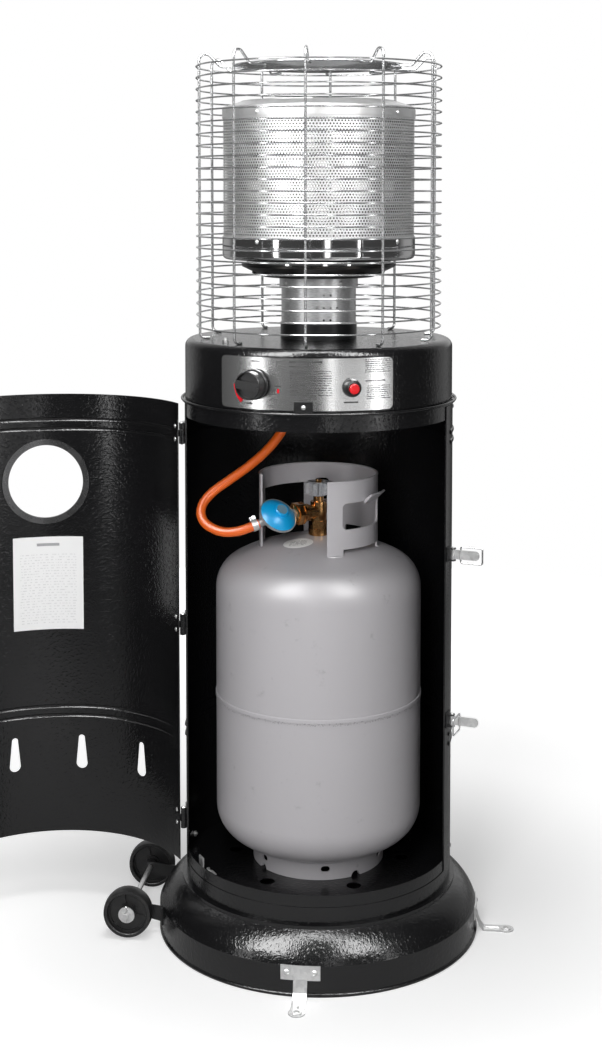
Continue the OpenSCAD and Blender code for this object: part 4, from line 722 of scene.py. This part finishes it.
shape = bmesh.new()
rings = []
for ring_share in (0.0, 0.35, 0.7, 0.97, 1.0):
    rings.append([])
    for k in range(1 if ring_share == 0 else sticker_sides):
        around = 2 * math.pi * k / sticker_sides
        px = sticker_x * MM + sticker_half[0] * ring_share * math.cos(around)
        py = sticker_y * MM + sticker_half[1] * ring_share * math.sin(around)
        pz = (crown_centre_z + math.sqrt(crown_radius ** 2 - px ** 2 - py ** 2)
              + (sticker_lift if ring_share < 1 else sticker_edge_lift))
        rings[-1].append(shape.verts.new((px, py, pz)))
for k in range(sticker_sides):
    after = (k + 1) % sticker_sides
    shape.faces.new((rings[0][0], rings[1][k], rings[1][after]))
    for inner, outer in zip(rings[1:], rings[2:]):
        shape.faces.new((inner[k], outer[k], outer[after], inner[after]))
mesh_piece("cylinder_sticker", shape, sticker_white, "heater")

# Cylinder handwheel. A lobed wheel moulded in speckled grey plastic, which turns on the stem of
# the cylinder's valve.
wheel_grey = (0.26, 0.265, 0.28)
fleck_light = (0.50, 0.50, 0.51)

grey_plastic, start = new_finish("grey_plastic_finish", base_color=wheel_grey, roughness=0.45)
flecks = cloud(surface(start), 900, roughness=0.6)
vary(grey_plastic, {
    "Base Color": flecks.ease(0.5, 0.68).mix(wheel_grey, fleck_light),
    "Roughness": flecks.between(0.38, 0.58),
    "Normal": bump(flecks, strength=0.2, distance=0.2 * MM),
})
coat_parts(grey_plastic, "cylinder_handwheel")

# Regulator. A die-cast zinc body under a pressed steel dome, which is painted blue and crimped
# on, with a grey hub at its middle. The dome faces up, to the front and to the right.
regulator_centre = (-0.057485, -0.053605, 0.651)
dome_axis = (0.4823, -0.5171, 0.7071)
hub_radius = 8.4 * MM
dome_blue = (0.002, 0.42, 0.86)
dome_shade = (0.002, 0.33, 0.70)
hub_grey = (0.16, 0.29, 0.38)
cast_grey = (0.50, 0.50, 0.505)
cast_light = (0.58, 0.58, 0.585)
cast_dark = (0.36, 0.36, 0.365)

blue_enamel, start = new_finish("regulator_cap_finish", base_color=dome_blue, roughness=0.28,
                                specular_ior_level=0.35)
place = surface(start)
from_centre = place.vector("SUBTRACT", place, regulator_centre)
across_axis = place.vector("CROSS_PRODUCT", from_centre, dome_axis)
hub = place.vector("LENGTH", across_axis, output="Value") < hub_radius
vary(blue_enamel, {
    "Base Color": hub.mix(cloud(place, 60, detail=3).mix(dome_shade, dome_blue), hub_grey),
    "Roughness": cloud(place, 120, detail=3).between(0.24, 0.38),
    "Normal": bump(cloud(place, 900), strength=0.12, distance=0.2 * MM),
})
coat_parts(blue_enamel, "regulator_cap")

die_cast, start = new_finish("die_cast_finish", base_color=cast_grey, roughness=0.45,
                             metallic=1.0)
cast = cloud(surface(start), 500, detail=4, roughness=0.65)
vary(die_cast, {
    "Base Color": cast.mix(cast_dark, cast_light),
    "Roughness": cast.between(0.36, 0.58),
    "Normal": bump(cast, strength=0.25, distance=0.25 * MM),
})
coat_parts(die_cast, "regulator_body")

# Burner tube. Rolled stainless sheet, brushed round, with a black band at its foot. The knob's
# spindle and the pilot bracket have the same brushed steel.
tube_light = (0.74, 0.74, 0.745)
tube_dark = (0.42, 0.42, 0.425)
foot_band = (921 * MM, 944.2 * MM)
foot_black = (0.03, 0.03, 0.031)

brushed, start = new_finish("brushed_steel_finish", base_color=tube_light, roughness=0.25,
                            metallic=0.75)
place = surface(start)
band = stripe(place.parts("Z")[0], *foot_band)
lines = hair_lines(place, along=9, up=1300, detail=4)
vary(brushed, {
    "Base Color": band.mix(lines.ease(0.25, 0.75).mix(tube_dark, tube_light), foot_black),
    "Roughness": lines.between(0.22, 0.40),
    "Normal": bump(lines, strength=0.08, distance=0.12 * MM),
})
coat_parts(brushed, "burner_tube", "knob_spindle", "pilot_assembly")

# Emitter screen. Stainless sheet, punched with staggered round holes, rolled and lapped. The
# holes go right through. The far wall shows through them, and its inner face is painted near
# black as shade.
screen_radius = 145.5
screen_skin = 0.5
hole_pitch = 4.9
row_pitch = hole_pitch * math.sin(math.radians(60))
hole_radius = 1.4
hole_band = (1076.5 * MM, 1252.5 * MM)
whole_turns = 1000.0
screen_grey = (0.76, 0.76, 0.765)
screen_dark = (0.60, 0.595, 0.59)
inside_painted_shade = (0.10, 0.095, 0.09)

screen_steel, start = new_finish("emitter_screen_finish", base_color=screen_grey, roughness=0.36,
                                 metallic=0.55)
place = surface(start)
x, y, z = place.parts()
columns = round(2 * math.pi * screen_radius / hole_pitch)
column = round_angle(x, y) * (columns / (2 * math.pi))
row = z * (1 / (MM * row_pitch))
row_number = row.whole()
shifted = column + row_number.maths("MODULO", row_number, 2.0) * 0.5
du = ((shifted + whole_turns).rest() - 0.5) * hole_pitch
dv = (row.rest() - 0.5) * row_pitch
punched = ((du * du + dv * dv) < hole_radius ** 2) * stripe(z, *hole_band)
stain = cloud(place, 12, detail=5, roughness=0.6)
# Painted shade: the screen's inner face is coloured near black.
shaded_inner_face = (x * x + y * y).root() < (screen_radius - screen_skin) * MM
vary(screen_steel, {
    "Base Color": shaded_inner_face.mix(stain.ease(0.35, 0.8).mix(screen_grey, screen_dark), inside_painted_shade),
    "Roughness": stain.between(0.34, 0.48),
    "Alpha": 1 - punched,
})
coat_parts(screen_steel, "emitter_screen")

# Guard. Chromed steel wire, rings and uprights resistance-welded at every crossing, where a small
# flattened nugget shows. The latch bails are bent from the same bright wire.
chrome_light = (0.72, 0.725, 0.73)
chrome_dark = (0.50, 0.505, 0.51)
guard_rings, ring_pitch, first_ring = 24, 17.06 * MM, 939.6 * MM
guard_rods, weld_radius = 10, 184.9 * MM
nugget_long, nugget_deep, nugget_tall = 2.5 * MM, 1.7 * MM, 1.9 * MM

chrome, start = new_finish("wire_chrome_finish", base_color=chrome_light, roughness=0.12,
                           metallic=0.8)
film = cloud(surface(start), 45, detail=4, roughness=0.6)
vary(chrome, {
    "Base Color": film.mix(chrome_dark, chrome_light),
    "Roughness": film.between(0.08, 0.22),
})
coat_parts(chrome, "guard_cage", "guard_dish", "upper_latch_bail", "lower_latch_bail")

shape = bmesh.new()
for k in range(guard_rings):
    for j in range(guard_rods):
        angle = 2 * math.pi * j / guard_rods
        size = random.uniform(0.9, 1.1)
        spot = Matrix.Translation((weld_radius * math.sin(angle), -weld_radius * math.cos(angle),
                                   first_ring + k * ring_pitch))
        flat = Matrix.Diagonal((nugget_long * size, nugget_deep, nugget_tall * size, 1))
        bmesh.ops.create_icosphere(shape, subdivisions=1, radius=1.0,
                                   matrix=spot @ Matrix.Rotation(angle, 4, "Z") @ flat)
mesh_piece("guard_weld_nuggets", shape, chrome, "heater")

# Studio floor. A white disc that keeps the heater's shadow and runs out to the white of the
# backdrop. Its own light grows with the distance from the heater's foot, for the camera alone.
floor_radius = 2.4
floor_shade = (0.62, 0.62, 0.62)
foot_edge, shadow_edge, far_edge = 0.24, 0.8, 1.8

shape = bmesh.new()
bmesh.ops.create_circle(shape, cap_ends=True, segments=96, radius=floor_radius)
floor_mesh = bpy.data.meshes.new("floor")
shape.to_mesh(floor_mesh)
shape.free()
floor = bpy.data.objects.new("floor", floor_mesh)
bpy.context.scene.collection.objects.link(floor)
floor_white, start = new_finish("floor_finish", base_color=floor_shade, roughness=0.9,
                                emission_strength=1.0)
seen = start.node("ShaderNodeLightPath", output="Is Camera Ray")
place = surface(start)
out = place.vector("LENGTH", place, output="Value")
lift = 0.42 + 0.36 * out.ease(foot_edge, shadow_edge) + 0.4 * out.ease(shadow_edge, far_edge)
vary(floor_white, {"Emission Color": seen * (out > foot_edge) * lift})
floor_mesh.materials.append(floor_white)

# Lamps. A narrow soft box at each side of the camera, which only glossy surfaces show, one
# overhead, and a fill in front that lights the matt surfaces and shows in no reflection.
lamp_aim = Vector((0, 0, 0.75))


def soft_box(name, azimuth, distance, height, width, tall, power):
    """An area lamp at this angle from the front, turned to the heater."""
    lamp = bpy.data.lights.new(name, "AREA")
    lamp.shape = "RECTANGLE"
    lamp.size, lamp.size_y = width, tall
    lamp.energy = power
    holder = bpy.data.objects.new(name, lamp)
    turned = math.radians(azimuth)
    holder.location = (distance * math.sin(turned), -distance * math.cos(turned), height)
    holder.rotation_euler = (lamp_aim - holder.location).to_track_quat("-Z", "Y").to_euler()
    bpy.context.scene.collection.objects.link(holder)
    return holder


left = soft_box("left_soft_box", azimuth=-44, distance=2.3, height=1.2, width=0.2, tall=1.8,
                power=7)
right = soft_box("right_soft_box", azimuth=54, distance=2.4, height=1.15, width=0.16, tall=1.8,
                 power=5)
left.visible_diffuse = right.visible_diffuse = False
soft_box("top_box", azimuth=0, distance=0.5, height=2.7, width=0.8, tall=0.5, power=20)
fill = soft_box("front_fill", azimuth=-4, distance=1.35, height=1.1, width=0.34, tall=1.4,
                power=16.5)
fill.visible_camera = fill.visible_glossy = False

# White cards that are seen only as reflections: two high ones, which the sloping shoulder of the
# base mirrors, a low one at the right for the control plate, and a narrow strip in front for the
# steel.
card_distance = 3.0
card_white = (0.8, 0.8, 0.8)
card_squares = 12


def card(name, azimuths, heights, centre_z, strength):
    """A curved card, from one azimuth and elevation to the other as seen from the axis at
    centre_z."""
    white, _ = new_finish(name + "_finish", base_color=card_white, roughness=0.9,
                          emission_color=(1.0, 1.0, 1.0), emission_strength=strength)
    shape = bmesh.new()
    bmesh.ops.create_grid(shape, x_segments=card_squares, y_segments=card_squares, size=0.5)
    for spot in shape.verts:
        turned, raised = (math.radians(low + (high - low) * (share + 0.5))
                          for (low, high), share in zip((azimuths, heights), spot.co))
        spot.co = (card_distance * math.cos(raised) * math.sin(turned),
                   -card_distance * math.cos(raised) * math.cos(turned),
                   centre_z + card_distance * math.sin(raised))
    mesh = bpy.data.meshes.new(name)
    shape.to_mesh(mesh)
    shape.free()
    mesh.materials.append(white)
    made = bpy.data.objects.new(name, mesh)
    bpy.context.scene.collection.objects.link(made)
    made.visible_camera = made.visible_diffuse = made.visible_shadow = False


card("left_high_card", azimuths=(-48, -16), heights=(31, 72), centre_z=0.07, strength=17)
card("right_high_card", azimuths=(27, 50), heights=(33, 72), centre_z=0.07, strength=17)
card("low_card", azimuths=(21, 68), heights=(-16, -5), centre_z=0.885, strength=0.68)
card("front_strip", azimuths=(13, 19), heights=(-12, 24), centre_z=0.75, strength=2.0)

# Room. White to the camera. Glossy surfaces mirror dark walls with one pale panel at each side,
# and above the horizon a bright wall behind the heater. All else gets a faint even light.
dark, pale, bright = ((level,) * 3 for level in (0.07, 0.42, 0.8))
ambient = (0.06, 0.06, 0.06)
backdrop = (1.0, 1.0, 1.0)
horizon = 0.02

room = bpy.data.worlds.new("studio")
bpy.context.scene.world = room
room.use_nodes = True
start = Wire(room.node_tree)
x, y, z = start.node("ShaderNodeTexCoord", output="Generated").parts()
turned = round_angle(x, y) * (1 / (2 * math.pi)) + 0.5


def walls(*half):
    """Levels round the room, from straight behind the heater to its front, alike on both sides."""
    stops = [*half, *((1 - spot, level) for spot, level in reversed(half))]
    return turned.node("ShaderNodeValToRGB", {"stops": stops}, {0: turned})


below = walls((0.0, dark), (0.05, dark), (0.09, pale), (0.14, pale), (0.18, dark))
above = walls((0.0, bright), (0.07, bright), (0.10, pale), (0.14, pale), (0.18, dark))
mirrored = (z > horizon).mix(below, above)
glossy = start.node("ShaderNodeLightPath", output="Is Glossy Ray")
seen = start.node("ShaderNodeLightPath", output="Is Camera Ray")
shown = seen.mix(glossy.mix(ambient, mirrored), backdrop)
room.node_tree.links.new(shown.socket, room.node_tree.nodes["Background"].inputs["Color"])

bpy.context.scene.view_settings.view_transform = "Standard"
